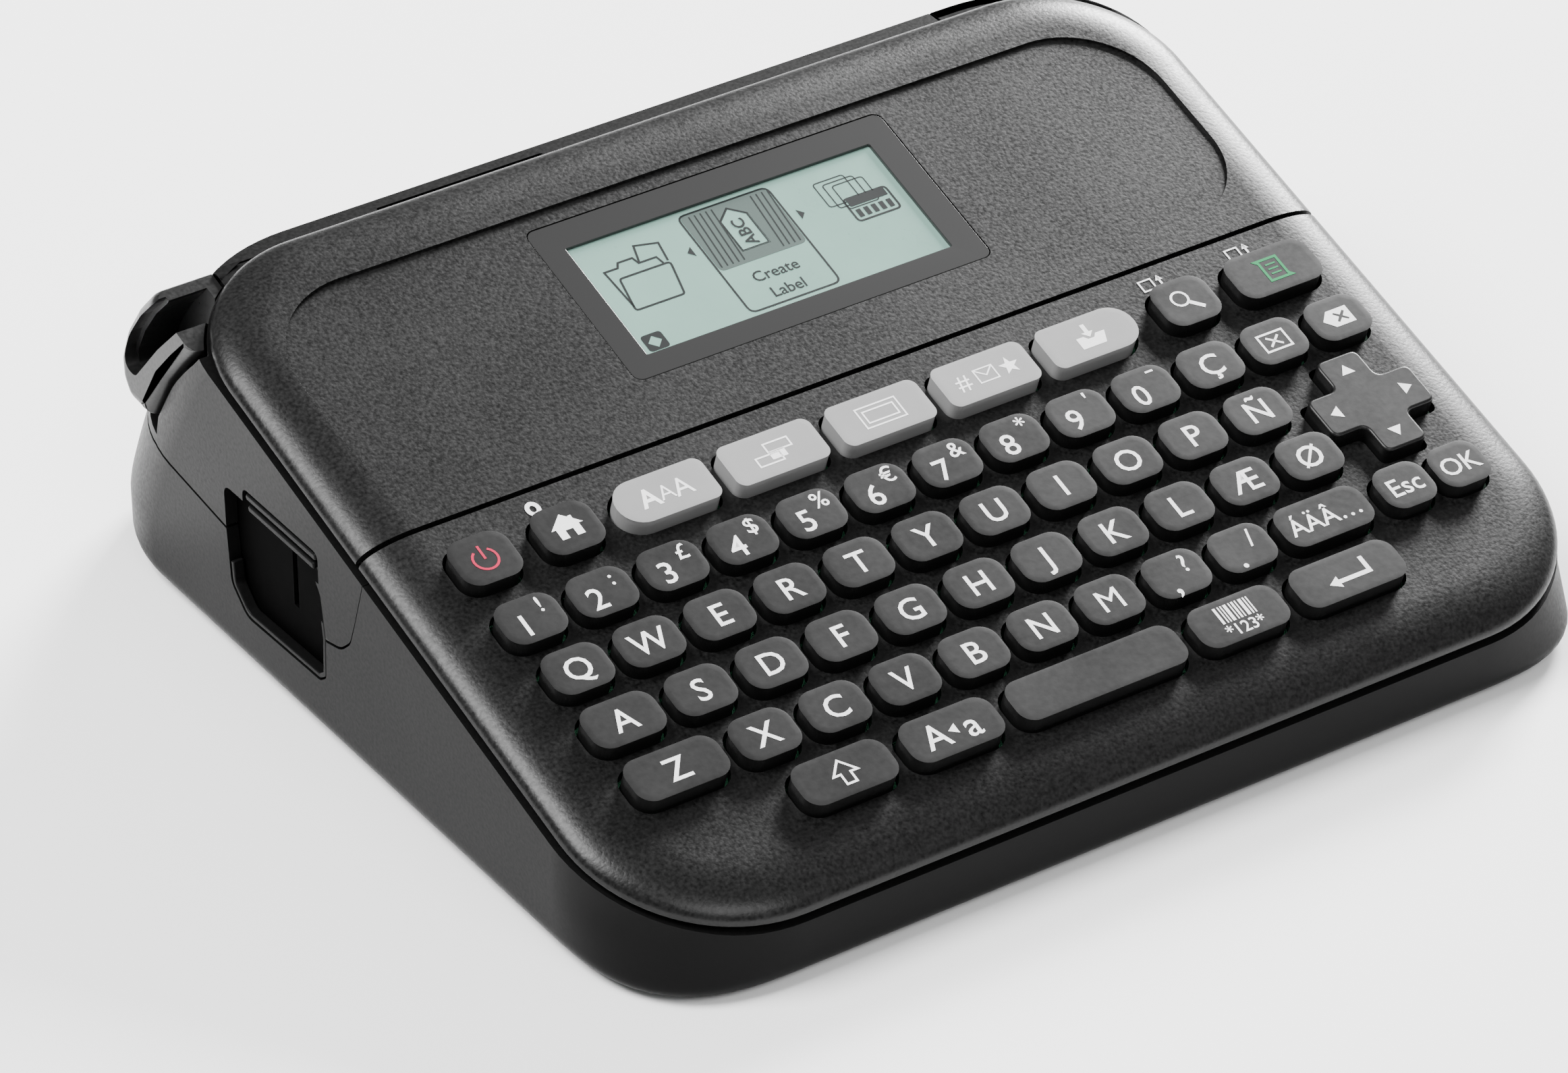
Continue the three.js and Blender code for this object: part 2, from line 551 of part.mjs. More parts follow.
function cutterBlade() {
  const [front, back] = [TAPE_Y0 - 1.5, TAPE_Y1 + 2];
  return plateYZ([[front, BLADE.z0], [back, BLADE.z0], [back, TAPE_Z - 0.6], [front, TAPE_Z - 1.3]],
    BLADE.x, BLADE.x + BLADE.thick);
}

function fixedBlade() {
  const x0 = BLADE.x + BLADE.thick + CLEAR;
  return box(x0, x0 + BLADE.thick, TAPE_Y0 - 2, TAPE_Y1 + 2, TAPE_Z + 0.4, TAPE_Z + 6);
}

// A torsion spring on the lever's axle.
function cutterSpring() {
  const [turns, coilR, wireR, start] = [5, 2.7, 0.35, ARM.x1 + 1.2];
  const helix = Array.from({ length: turns * 8 + 1 }, (_, i) => {
    const angle = (i * Math.PI) / 4;
    return new THREE.Vector3(start + (i / 8) * 0.8, LEVER_PIVOT.y + coilR * Math.cos(angle),
      LEVER_PIVOT.z + coilR * Math.sin(angle));
  });
  const wire = new THREE.Shape().absarc(0, 0, wireR, 0, Math.PI * 2);
  const path = new THREE.CatmullRomCurve3(helix);
  return solid(new THREE.ExtrudeGeometry(wire, { steps: turns * 8, curveSegments: 3, extrudePath: path }));
}

// ---------------------------------------------------------------- print mechanism
const HOLDER = { x: PLATEN.x + 16, z: PLATEN.z + 4.6, y0: TAPE_Y0 - 3.8, y1: TAPE_Y1 + 4, plate: 1.4 };
const pitchR = (teeth) => (teeth * GEAR_MODULE) / 2;
const IDLER_Z = PLATEN.z - pitchR(TEETH.platen) - pitchR(TEETH.idler);
const PINION_Z = IDLER_Z - pitchR(TEETH.idler) - pitchR(TEETH.pinion);

function gear(teeth, z, bore, phase) {
  const pitch = pitchR(teeth);
  const [tip, root] = [pitch + 0.75 * GEAR_MODULE, pitch - 1.15 * GEAR_MODULE];
  const step = (Math.PI * 2) / teeth;
  const outline = Array.from({ length: teeth }, (_, i) => i * step + phase).flatMap((mid) => [
    [root, -0.3], [tip, -0.12], [tip, 0.12], [root, 0.3],
  ].map(([r, share]) => [PLATEN.x + r * Math.sin(mid + share * step), z + r * Math.cos(mid + share * step)]));
  return plateXZ(outline, GEAR_Y, GEAR_Y + GEAR_T).subtract(rod('y', bore, PLATEN.x, z, -FAR, FAR));
}

function platenRoller() {
  const sleeve = rod('y', PLATEN.r, PLATEN.x, PLATEN.z, TAPE_Y0 - 1, TAPE_Y1 + 1, 24);
  return sleeve.add(rod('y', PLATEN.shaft, PLATEN.x, PLATEN.z, HOLDER.y0 - 0.6, GEAR_Y + GEAR_T + 0.8, 12));
}

function rollerHolder() {
  const [low, top, neck] = [PLATEN.z - 2, PLATEN.z + 6.4, CASSETTE.z1 + 0.9];
  const [x0, x1] = [PLATEN.x - 4, HOLDER.x + 2.4];
  const side = [[x0, low], [x0 + 7, low], [x0 + 10.8, neck], [x1, neck], [x1, top], [x0, top]];
  const web = box(x0, HOLDER.x - 2, HOLDER.y0, HOLDER.y1, top - 1.6, top);
  const holder = joined(plateXZ(side, HOLDER.y0, HOLDER.y0 + HOLDER.plate),
    plateXZ(side, HOLDER.y1 - HOLDER.plate, HOLDER.y1), web);
  return cutBy(holder, rod('y', PLATEN.shaft + CLEAR, PLATEN.x, PLATEN.z, -FAR, FAR),
    rod('y', AXLE_R + CLEAR, HOLDER.x, HOLDER.z, -FAR, FAR));
}

const FLOOR_Z = LIFT + WALL + 0.5;
const GEAR_PLATE = { y0: TAPE_Y1 + 2.2, y1: TAPE_Y1 + 3.6 };
const MOTOR_PLATE = { y0: GEAR_Y + GEAR_T + 1, y1: GEAR_Y + GEAR_T + 2.4 };

function mechanismChassis() {
  const [x, x0, x1] = [PLATEN.x, PLATEN.x - 10, PLATEN.x + 6.4];
  const [arm, top] = [HOLDER.x + 3, HOLDER.z + 1.6];
  const foot = box(x0, x1, FRONT_PLATE.y0, MOTOR_PLATE.y1 + 18, FLOOR_Z, FLOOR_Z + 1.2);
  const front = plateXZ([[x0, FLOOR_Z], [x1, FLOOR_Z], [x1, top - 4.2], [arm, top - 4.2], [arm, top],
    [x + 4, top], [x0, top - 4.8]], FRONT_PLATE.y0, FRONT_PLATE.y1);
  const gearPlate = box(x - 5, x + 6, GEAR_PLATE.y0, GEAR_PLATE.y1, FLOOR_Z, TAPE_Z - 1.3);
  const motorPlate = box(x - 8, x1, MOTOR_PLATE.y0, MOTOR_PLATE.y1, FLOOR_Z, PINION_Z + MOTOR_R);
  const shelf = box(x - 4, x + 4, FRONT_PLATE.y0, GEAR_PLATE.y1, HEAD_Z - CLEAR - 1.4, HEAD_Z - CLEAR);
  const idlerStud = rod('y', STUD_R, x, IDLER_Z, GEAR_PLATE.y0, GEAR_Y + GEAR_T + 0.6, 12);
  const shaftHole = rod('y', 1.6, x, PINION_Z, GEAR_PLATE.y1 + 1, FAR);
  const platenHole = rod('y', PLATEN.shaft + 1.6, x, PLATEN.z, FRONT_PLATE.y0 - 1, FRONT_PLATE.y1 + 1);
  return cutBy(joined(foot, front, gearPlate, motorPlate, shelf, idlerStud), shaftHole, platenHole);
}

function holderPin() {
  return rod('y', AXLE_R, HOLDER.x, HOLDER.z, FRONT_PLATE.y1 + CLEAR, HOLDER.y1 + 2, 12);
}

function printHead() {
  const x = PLATEN.x;
  const block = box(x - 3.4, x + 3.4, TAPE_Y0 - 1, TAPE_Y1 + 1, HEAD_Z, TAPE_Z - 0.9);
  return block.add(box(x - 1, x + 1, TAPE_Y0, TAPE_Y1, TAPE_Z - 1, TAPE_Z - CLEAR));
}

function driveMotor() {
  const y0 = MOTOR_PLATE.y1 + CLEAR;
  const can = rod('y', MOTOR_R, PLATEN.x, PINION_Z, y0, y0 + MOTOR_LEN, 24);
  const collar = rod('y', 2.6, PLATEN.x, PINION_Z, y0 + MOTOR_LEN - 0.1, y0 + MOTOR_LEN + 1.6, 12);
  return can.add(collar);
}

function motorPinion() {
  const wheel = gear(TEETH.pinion, PINION_Z, 0.2, Math.PI / TEETH.pinion);
  return wheel.add(rod('y', 1, PLATEN.x, PINION_Z, GEAR_Y, MOTOR_PLATE.y1, 12));
}

function tapeCassette() {
  const c = CASSETTE;
  const outline = [[c.x0, c.z0 + 12], [c.x0 + 10, c.z0 + 3], [c.x0 + 14, c.z0], [c.x1 - 3, c.z0],
    [c.x1, c.z0 + 3], [c.x1, c.z1 - 3], [c.x1 - 3, c.z1], [c.x0, c.z1]];
  const shell = plateXZ(outline, c.y0, c.y1);
  const label = box(c.x0 + 12, c.x1 - 6, c.y1 - 0.6, c.y1 + 1, c.z0 + 6, c.z1 - 6);
  const spool = rod('y', 5, c.x1 - 16, c.z0 + 15, c.y1 - 8, c.y1 + 1, 24);
  const tapeSlot = box(c.x0 - 1, c.x0 + 8, TAPE_Y0 - 0.5, TAPE_Y1 + 0.5, TAPE_Z - 0.8, TAPE_Z + 0.9);
  return cutBy(shell, label, spool, tapeSlot);
}

function labelTape() {
  return box(BLADE.x + BLADE.thick + 0.5, CASSETTE.x0 + 7, TAPE_Y0, TAPE_Y1, TAPE_Z - 0.05, TAPE_Z + 0.1);
}

const CELL = { r: 7.2, length: 49.5, count: 6, pitch: 14.6, x: CASSETTE.x1 + 11.4, y0: EXIT.y0 + 1.6 };

function batteryPack() {
  const z = LIFT + WALL + CLEAR + CELL.r;
  const cells = Array.from({ length: CELL.count }, (_, i) => {
    const x = CELL.x + i * CELL.pitch;
    return rod('y', CELL.r, x, z, CELL.y0, CELL.y0 + CELL.length, 16)
      .add(rod('y', 2.6, x, z, CELL.y0, CELL.y0 + CELL.length + 1, 12));
  });
  const span = [CELL.x - 5, CELL.x + (CELL.count - 1) * CELL.pitch + 5];
  const strap = box(span[0], span[1], CELL.y0 - 0.8, CELL.y0 + 0.1, z - 3, z + 3);
  return joined(strap, ...cells);
}

function powerJack() {
  const x1 = SIDE - WALL - CLEAR;
  const [x0, half] = [x1 - JACK.depth, JACK.side / 2];
  const block = box(x0, x1, JACK.y - half, JACK.y + half, JACK.z - half, JACK.z + half);
  const bore = rod('x', JACK.r, JACK.y, JACK.z, x0 + 2, x1 + 1);
  return block.subtract(bore).add(rod('x', 0.8, JACK.y, JACK.z, x0 + 1, x1 - 1, 12));
}

function usbSocket() {
  const x1 = SIDE - WALL - CLEAR;
  const shell = plateYZ(chamferedRect(USB.y, USB.z, USB.w, USB.h, 0.6), x1 - USB.depth, x1);
  const mouth = chamferedRect(USB.y, USB.z, USB.w - 0.8, USB.h - 0.8, 0.4);
  const tongue = box(x1 - USB.depth, x1 - 2, USB.y - 2.6, USB.y + 2.6, USB.z - 0.3, USB.z + 0.3);
  return shell.subtract(plateYZ(mouth, x1 - USB.depth + 1, x1 + 1)).add(tongue);
}

function rubberFoot(x, y) {
  return rod('z', FOOT.r, x, y, 0, LIFT + FOOT.pocket - CLEAR);
}

function caseScrew(x, y) {
  const start = LIFT + CLEAR;
  const head = SCREW.recess - 2 * CLEAR;
  const profile = [[0, 0], [SCREW.head, 0], [SCREW.head, head], [SCREW.shank, head],
    [SCREW.shank, SCREW.length - 1], [0, SCREW.length]].map(([r, z]) => new THREE.Vector2(r, z));
  const turned = new THREE.LatheGeometry(profile, 12).rotateX(Math.PI / 2).translate(x, y, start);
  return cutBy(solid(turned), box(x - 2, x + 2, y - 0.4, y + 0.4, 0, start + 0.5));
}

// ---------------------------------------------------------------- assembly
const finish = (color, roughness, metalness = 0) => (
  new THREE.MeshStandardMaterial({ color, roughness, metalness }));
const CASE = () => finish(0x2b2b2d, 0.55);
const KEY = () => finish(0x48494c, 0.4);
const GREY_KEY = () => finish(0xc3c3c5, 0.45);
const STEEL = () => finish(0xb5b8bc, 0.3, 0.9);
const BLACK_PLASTIC = () => finish(0x161617, 0.5);
const WHITE_PLASTIC = () => finish(0xd8d8d2, 0.5);
const BOARD = () => finish(0x1f5a3a, 0.6);

const labelMaker = new THREE.Group();
const panel = new THREE.Group();
panel.rotation.x = TILT;
panel.position.z = RIM_Z;
labelMaker.add(panel);

function place(parent, name, body, material) {
  const mesh = new THREE.Mesh(geometryOf(body), material);
  mesh.name = name;
  parent.add(mesh);
}

place(labelMaker, 'base_shell', baseShell(), CASE());
place(labelMaker, 'upper_frame', upperFrame(), CASE());
place(labelMaker, 'rear_cover', rearCover(), CASE());
place(panel, 'screen_cover', screenCover(), CASE());
place(panel, 'keyboard_cover', keyboardCover([...ROWS.flat(), ...SINGLE_KEYS]), CASE());
place(panel, 'screen_window', screenWindow(), finish(0x0b0c0d, 0.08));
place(panel, 'screen_module', screenModule(), finish(0xa3bdb4, 0.3));
place(panel, 'keypad_board', keypadBoard(), BOARD());
place(panel, 'main_board', mainBoard(), BOARD());
for (const key of SINGLE_KEYS) {
  place(panel, key.name, singleKey(key), GREY_NAMES.includes(key.name) ? GREY_KEY() : KEY());
}
for (const row of ROWS) {
  place(panel, row[0].name, keyRow(row), KEY());
}

place(labelMaker, 'cutter_lever', cutterLever(), CASE());
place(labelMaker, 'cutter_blade', cutterBlade(), STEEL());
place(labelMaker, 'fixed_blade', fixedBlade(), STEEL());
place(labelMaker, 'cutter_spring', cutterSpring(), STEEL());
place(labelMaker, 'mechanism_chassis', mechanismChassis(), STEEL());
place(labelMaker, 'print_head', printHead(), finish(0x8a6f4a, 0.35, 0.4));
place(labelMaker, 'platen_roller', platenRoller(), finish(0x1d1d1d, 0.8));
place(labelMaker, 'roller_holder', rollerHolder(), WHITE_PLASTIC());
place(labelMaker, 'holder_pin', holderPin(), STEEL());
place(labelMaker, 'platen_gear', gear(TEETH.platen, PLATEN.z, PLATEN.shaft + CLEAR, Math.PI / TEETH.platen),
  WHITE_PLASTIC());
place(labelMaker, 'idler_gear', gear(TEETH.idler, IDLER_Z, STUD_R + CLEAR, 0), WHITE_PLASTIC());
place(labelMaker, 'motor_pinion', motorPinion(), WHITE_PLASTIC());
place(labelMaker, 'drive_motor', driveMotor(), STEEL());
place(labelMaker, 'tape_cassette', tapeCassette(), finish(0x3a3c40, 0.5));
place(labelMaker, 'label_tape', labelTape(), finish(0xe8e8e4, 0.4));
place(labelMaker, 'battery_pack', batteryPack(), finish(0x7c7f86, 0.35, 0.3));
place(labelMaker, 'power_jack', powerJack(), BLACK_PLASTIC());
place(labelMaker, 'usb_socket', usbSocket(), STEEL());
const CORNER_NAMES = ['front_left', 'back_left', 'front_right', 'back_right'];
CORNER_NAMES.forEach((spot, i) => {
  place(labelMaker, `rubber_foot_${spot}`, rubberFoot(...corners(FOOT)[i]), finish(0x202020, 0.9));
  place(labelMaker, `case_screw_${spot}`, caseScrew(...corners(SCREW)[i]), STEEL());
});

export default labelMaker;
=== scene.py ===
"""Looks of the desktop label maker: moulded covers, keys, screen, cutter lever and rear cover.

Sizes are in millimetres in the classes and in metres in the finished meshes. Many pieces lie on
the sloping panel; they are shaped flat, with u to the right, v up the slope and w out of the
panel, and their meshes are then laid on the slope.
"""
from __future__ import annotations

import logging
import math
from dataclasses import dataclass, field
from enum import Enum
from typing import Any, Callable, Iterable, Sequence

import bpy
from mathutils import Matrix, Vector

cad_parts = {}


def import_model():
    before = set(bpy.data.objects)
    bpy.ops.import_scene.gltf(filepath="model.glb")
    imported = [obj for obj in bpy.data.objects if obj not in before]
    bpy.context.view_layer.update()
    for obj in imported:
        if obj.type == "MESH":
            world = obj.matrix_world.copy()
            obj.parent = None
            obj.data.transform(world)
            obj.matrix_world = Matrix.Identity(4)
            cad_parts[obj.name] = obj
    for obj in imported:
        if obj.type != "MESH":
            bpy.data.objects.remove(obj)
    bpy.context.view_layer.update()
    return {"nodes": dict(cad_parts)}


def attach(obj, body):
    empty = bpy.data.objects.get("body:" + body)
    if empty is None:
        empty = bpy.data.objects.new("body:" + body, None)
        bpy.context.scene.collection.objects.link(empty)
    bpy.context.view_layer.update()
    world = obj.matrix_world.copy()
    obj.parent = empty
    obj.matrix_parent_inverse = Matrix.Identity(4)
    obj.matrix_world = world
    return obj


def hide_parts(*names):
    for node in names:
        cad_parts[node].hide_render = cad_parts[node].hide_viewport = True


LOG = logging.getLogger("label_maker")
MM = 0.001
Point = tuple[float, float]
Place = tuple[float, float, float]
Span = tuple[float, float, float, float]  # left, right, front and back
QUARTERS = ((1, 0), (0, 1), (-1, 0), (0, -1))  # cosine and sine of the quarter turns


# ---------------------------------------------------------------- node maths and finishes


class Value:
    """A shader socket that adds Math nodes when it is used in an expression."""

    def __init__(self, tree: "Tree", socket: bpy.types.NodeSocket) -> None:
        """Wraps a socket.

        Args:
            tree: The node tree that new nodes go into.
            socket: The output that this value reads.
        """
        self.tree = tree
        self.socket = socket

    def _math(self, operation: str, first: Any, second: Any) -> "Value":
        """Adds one Math node and returns its result."""
        return self.tree.add("ShaderNodeMath", {"operation": operation}, {0: first, 1: second})

    def __add__(self, other: Any) -> "Value":
        """This plus other."""
        return self._math("ADD", self, other)

    __radd__ = __add__

    def __sub__(self, other: Any) -> "Value":
        """This minus other."""
        return self._math("SUBTRACT", self, other)

    def __rsub__(self, other: Any) -> "Value":
        """Other minus this."""
        return self._math("SUBTRACT", other, self)

    def __mul__(self, other: Any) -> "Value":
        """This times other."""
        return self._math("MULTIPLY", self, other)

    __rmul__ = __mul__


class Tree:
    """The node tree of one material."""

    def __init__(self, name: str) -> None:
        """Starts a material.

        Args:
            name: The material's name.
        """
        self.material = bpy.data.materials.new(name)
        self.material.use_nodes = True
        self.nodes = self.material.node_tree.nodes
        self.links = self.material.node_tree.links
        self.shader = self.nodes["Principled BSDF"]

    def add(self, kind: str, settings: dict[str, Any], inputs: dict[Any, Any],
            output: Any = 0) -> Value:
        """Adds a node.

        Args:
            kind: The node's type.
            settings: Its settings, made before its sockets are filled.
            inputs: Values or links for its sockets, by name or number.
            output: The output socket to return.

        Returns:
            That output, as a value.
        """
        node = self.nodes.new(kind)
        for key, value in settings.items():
            setattr(node, key, value)
        for key, value in inputs.items():
            self.join(value, node.inputs[key])
        return Value(self, node.outputs[output])

    def join(self, value: Any, socket: bpy.types.NodeSocket) -> None:
        """Links a value to a socket, or sets the socket to a number or colour."""
        if isinstance(value, Value):
            self.links.new(value.socket, socket)
        else:
            socket.default_value = value

    def place(self, scale: Sequence[float] = (1.0, 1.0, 1.0)) -> Value:
        """The piece's own coordinates, stretched."""
        coordinates = self.add("ShaderNodeTexCoord", {}, {}, "Object")
        return self.add("ShaderNodeMapping", {}, {"Vector": coordinates, "Scale": scale})

    def noise(self, where: Value, scale: float, detail: float = 2.0) -> Value:
        """Fractal noise at a place."""
        inputs = {"Vector": where, "Scale": scale, "Detail": detail}
        return self.add("ShaderNodeTexNoise", {}, inputs, "Fac")

    def blend(self, share: Any, first: Any, second: Any) -> Value:
        """Mixes two colours by a share from 0 to 1."""
        node = self.nodes.new("ShaderNodeMix")
        node.data_type = "RGBA"
        self.join(share, node.inputs[0])
        self.join(first, node.inputs[6])
        self.join(second, node.inputs[7])
        return Value(self, node.outputs[2])

    def bump(self, height: Value, depth: float, strength: float) -> Value:
        """Relief of a depth in millimetres, for the shader's normal."""
        inputs = {"Strength": strength, "Distance": depth * MM, "Height": height}
        return self.add("ShaderNodeBump", {}, inputs, "Normal")

    def surface(self, **sockets: Any) -> bpy.types.Material:
        """Sets the shader's sockets, underscores standing for spaces; returns the material."""
        for key, value in sockets.items():
            self.join(value, self.shader.inputs[key.replace("_", " ")])
        return self.material


def grey(level: float) -> tuple[float, float, float, float]:
    """An opaque neutral colour."""
    return (level, level, level, 1.0)


def tint(red: float, green: float, blue: float) -> tuple[float, float, float, float]:
    """An opaque colour."""
    return (red, green, blue, 1.0)


def shaded(colour: Sequence[float], share: float) -> tuple[float, float, float, float]:
    """A darker or lighter version of a colour."""
    return tint(*(min(1.0, c * share) for c in colour[:3]))


@dataclass(frozen=True)
class MouldedPlastic:
    """Moulded plastic with a spark-eroded grain and faint flow marks.

    Attributes:
        name: The finish's name.
        colour: Its mean colour.
        roughness: Its mean roughness.
        grain: Depth of the grain, in millimetres.
        pitch: Size of one grain, in millimetres.
        fleck: How far single grains stray from the mean colour.
        shine: Strength of its surface reflection.
    """

    name: str
    colour: tuple[float, float, float, float]
    roughness: float = 0.45
    grain: float = 0.03
    pitch: float = 0.35
    fleck: float = 0.5
    shine: float = 0.35

    def make(self) -> bpy.types.Material:
        """Builds the material."""
        tree = Tree(self.name)
        where = tree.place()
        grains = tree.noise(where, 0.45 / (self.pitch * MM), 1.5)
        clouds = tree.noise(where, 28.0, 3.0)
        contrast = (grains - 0.5) * 2.2 + 0.5
        colour = tree.blend(contrast * 0.9 + clouds * 0.1, shaded(self.colour, 1 - self.fleck),
                            shaded(self.colour, 1 + self.fleck))
        rough = (grains - 0.5) * 0.25 + (clouds - 0.5) * 0.1 + self.roughness
        return tree.surface(Base_Color=colour, Roughness=rough,
                            Normal=tree.bump(grains, self.grain, 1.0),
                            Specular_IOR_Level=self.shine)


@dataclass(frozen=True)
class SatinPlastic:
    """Smooth moulded plastic, slightly uneven, with fine handling marks.

    Attributes:
        name: The finish's name.
        colour: Its colour.
        roughness: Its mean roughness.
        coat: Strength of a clear coat.
        shine: Strength of its surface reflection.
    """

    name: str
    colour: tuple[float, float, float, float]
    roughness: float = 0.35
    coat: float = 0.0
    shine: float = 0.35

    def make(self) -> bpy.types.Material:
        """Builds the material."""
        tree = Tree(self.name)
        where = tree.place()
        clouds = tree.noise(where, 60.0, 4.0)
        fine = tree.noise(where, 900.0, 2.0)
        return tree.surface(
            Base_Color=tree.blend(clouds, shaded(self.colour, 0.9), shaded(self.colour, 1.08)),
            Roughness=(clouds - 0.5) * 0.14 + (fine - 0.5) * 0.08 + self.roughness,
            Coat_Weight=self.coat, Normal=tree.bump(fine, 0.012, 0.5),
            Specular_IOR_Level=self.shine)


@dataclass(frozen=True)
class Print:
    """Opaque printing ink or a laser-cleared legend.

    Attributes:
        name: The finish's name.
        colour: The ink's colour.
        glow: Painted glow that it gives off, light from ink that is no lamp.
    """

    name: str
    colour: tuple[float, float, float, float]
    glow: float = 0.0

    def make(self) -> bpy.types.Material:
        """Builds the material."""
        tree = Tree(self.name)
        speck = tree.noise(tree.place(), 2500.0, 1.0)
        return tree.surface(
            Base_Color=tree.blend(speck, shaded(self.colour, 0.88), self.colour),
            Roughness=speck * 0.1 + 0.5,
            Emission_Color=self.colour, Emission_Strength=self.glow, Specular_IOR_Level=0.1)


@dataclass(frozen=True)
class BrushedMetal:
    """Metal with fine lines along one direction.

    Attributes:
        name: The finish's name.
        colour: The metal's colour.
        roughness: Its mean roughness.
        lines: Stretch of the pattern along X, Y and Z.
    """

    name: str
    colour: tuple[float, float, float, float]
    roughness: float = 0.3
    lines: Place = (40.0, 900.0, 900.0)

    def make(self) -> bpy.types.Material:
        """Builds the material."""
        tree = Tree(self.name)
        streaks = tree.noise(tree.place(self.lines), 3.0, 3.0)
        return tree.surface(
            Base_Color=tree.blend(streaks, shaded(self.colour, 0.8), self.colour), Metallic=1.0,
            Roughness=streaks * 0.2 + (self.roughness - 0.1),
            Normal=tree.bump(streaks, 0.01, 0.4))


class Finish(Enum):
    """Every finish on the object."""

    COVER = MouldedPlastic("cover_grain", grey(0.0040), 0.35, 0.034, 0.27, 0.8, 0.23)
    WALL = MouldedPlastic("wall_satin", grey(0.0035), 0.38, 0.008, 0.3, 0.1, 0.06)
    REAR = MouldedPlastic("rear_grain", grey(0.003), 0.45, 0.02, 0.3, 0.3, 0.07)
    KEY = SatinPlastic("key_rubber", grey(0.005), 0.36, 0.0, 0.25)
    GREY_KEY = SatinPlastic("function_key", grey(0.21), 0.42)
    LEVER = MouldedPlastic("lever_grain", grey(0.005), 0.36, 0.01, 0.3, 0.15, 0.25)
    BEZEL = SatinPlastic("window_gloss", grey(0.0015), 0.16, 0.0, 0.08)
    LCD = SatinPlastic("lcd_glass", tint(0.165, 0.28, 0.24), 0.3, 0.0, 0.2)
    LCD_INK = Print("lcd_segment", tint(0.003, 0.005, 0.005))
    LCD_SHADE = Print("lcd_shade", tint(0.055, 0.08, 0.072))
    WHITE_INK = Print("white_ink", grey(0.86))
    # The pink and green inks are real print colours with a faint painted glow added on top.
    PINK_INK_GLOW = Print("pink_ink_painted_glow", tint(0.42, 0.008, 0.05), 0.1)
    GREEN_INK_GLOW = Print("green_ink_painted_glow", tint(0.0, 0.19, 0.06), 0.1)
    RUBBER = MouldedPlastic("foot_rubber", grey(0.018), 0.75, 0.03, 0.5, 0.3)
    DARK = SatinPlastic("inner_black", grey(0.010), 0.5)
    # Near black and almost without reflection: painted shade that stands for the dark inside of the
    # tape exit.
    PAINTED_SHADE = SatinPlastic("exit_painted_shade", grey(0.0008), 0.8, 0.0, 0.02)
    STEEL = BrushedMetal("bright_steel", grey(0.55), 0.3)
    SCREW = BrushedMetal("screw_steel", grey(0.32), 0.35, (300.0, 300.0, 40.0))
    CERAMIC = SatinPlastic("head_ceramic", tint(0.42, 0.36, 0.30), 0.35, 0.3)
    ACETAL = SatinPlastic("acetal_gear", tint(0.62, 0.60, 0.54), 0.45)
    CASSETTE = MouldedPlastic("cassette_shell", tint(0.055, 0.058, 0.065), 0.4, 0.02, 0.4, 0.2)
    TAPE = SatinPlastic("laminated_tape", tint(0.80, 0.80, 0.78), 0.2, 0.4)
    CELL = SatinPlastic("cell_sleeve", tint(0.14, 0.15, 0.17), 0.25, 0.4)
    BOARD = SatinPlastic("circuit_board", tint(0.015, 0.11, 0.045), 0.4, 0.3)

    def material(self) -> bpy.types.Material:
        """The finish's material, built once."""
        found = bpy.data.materials.get(self.value.name)
        return found or self.value.make()


# ---------------------------------------------------------------- the bench


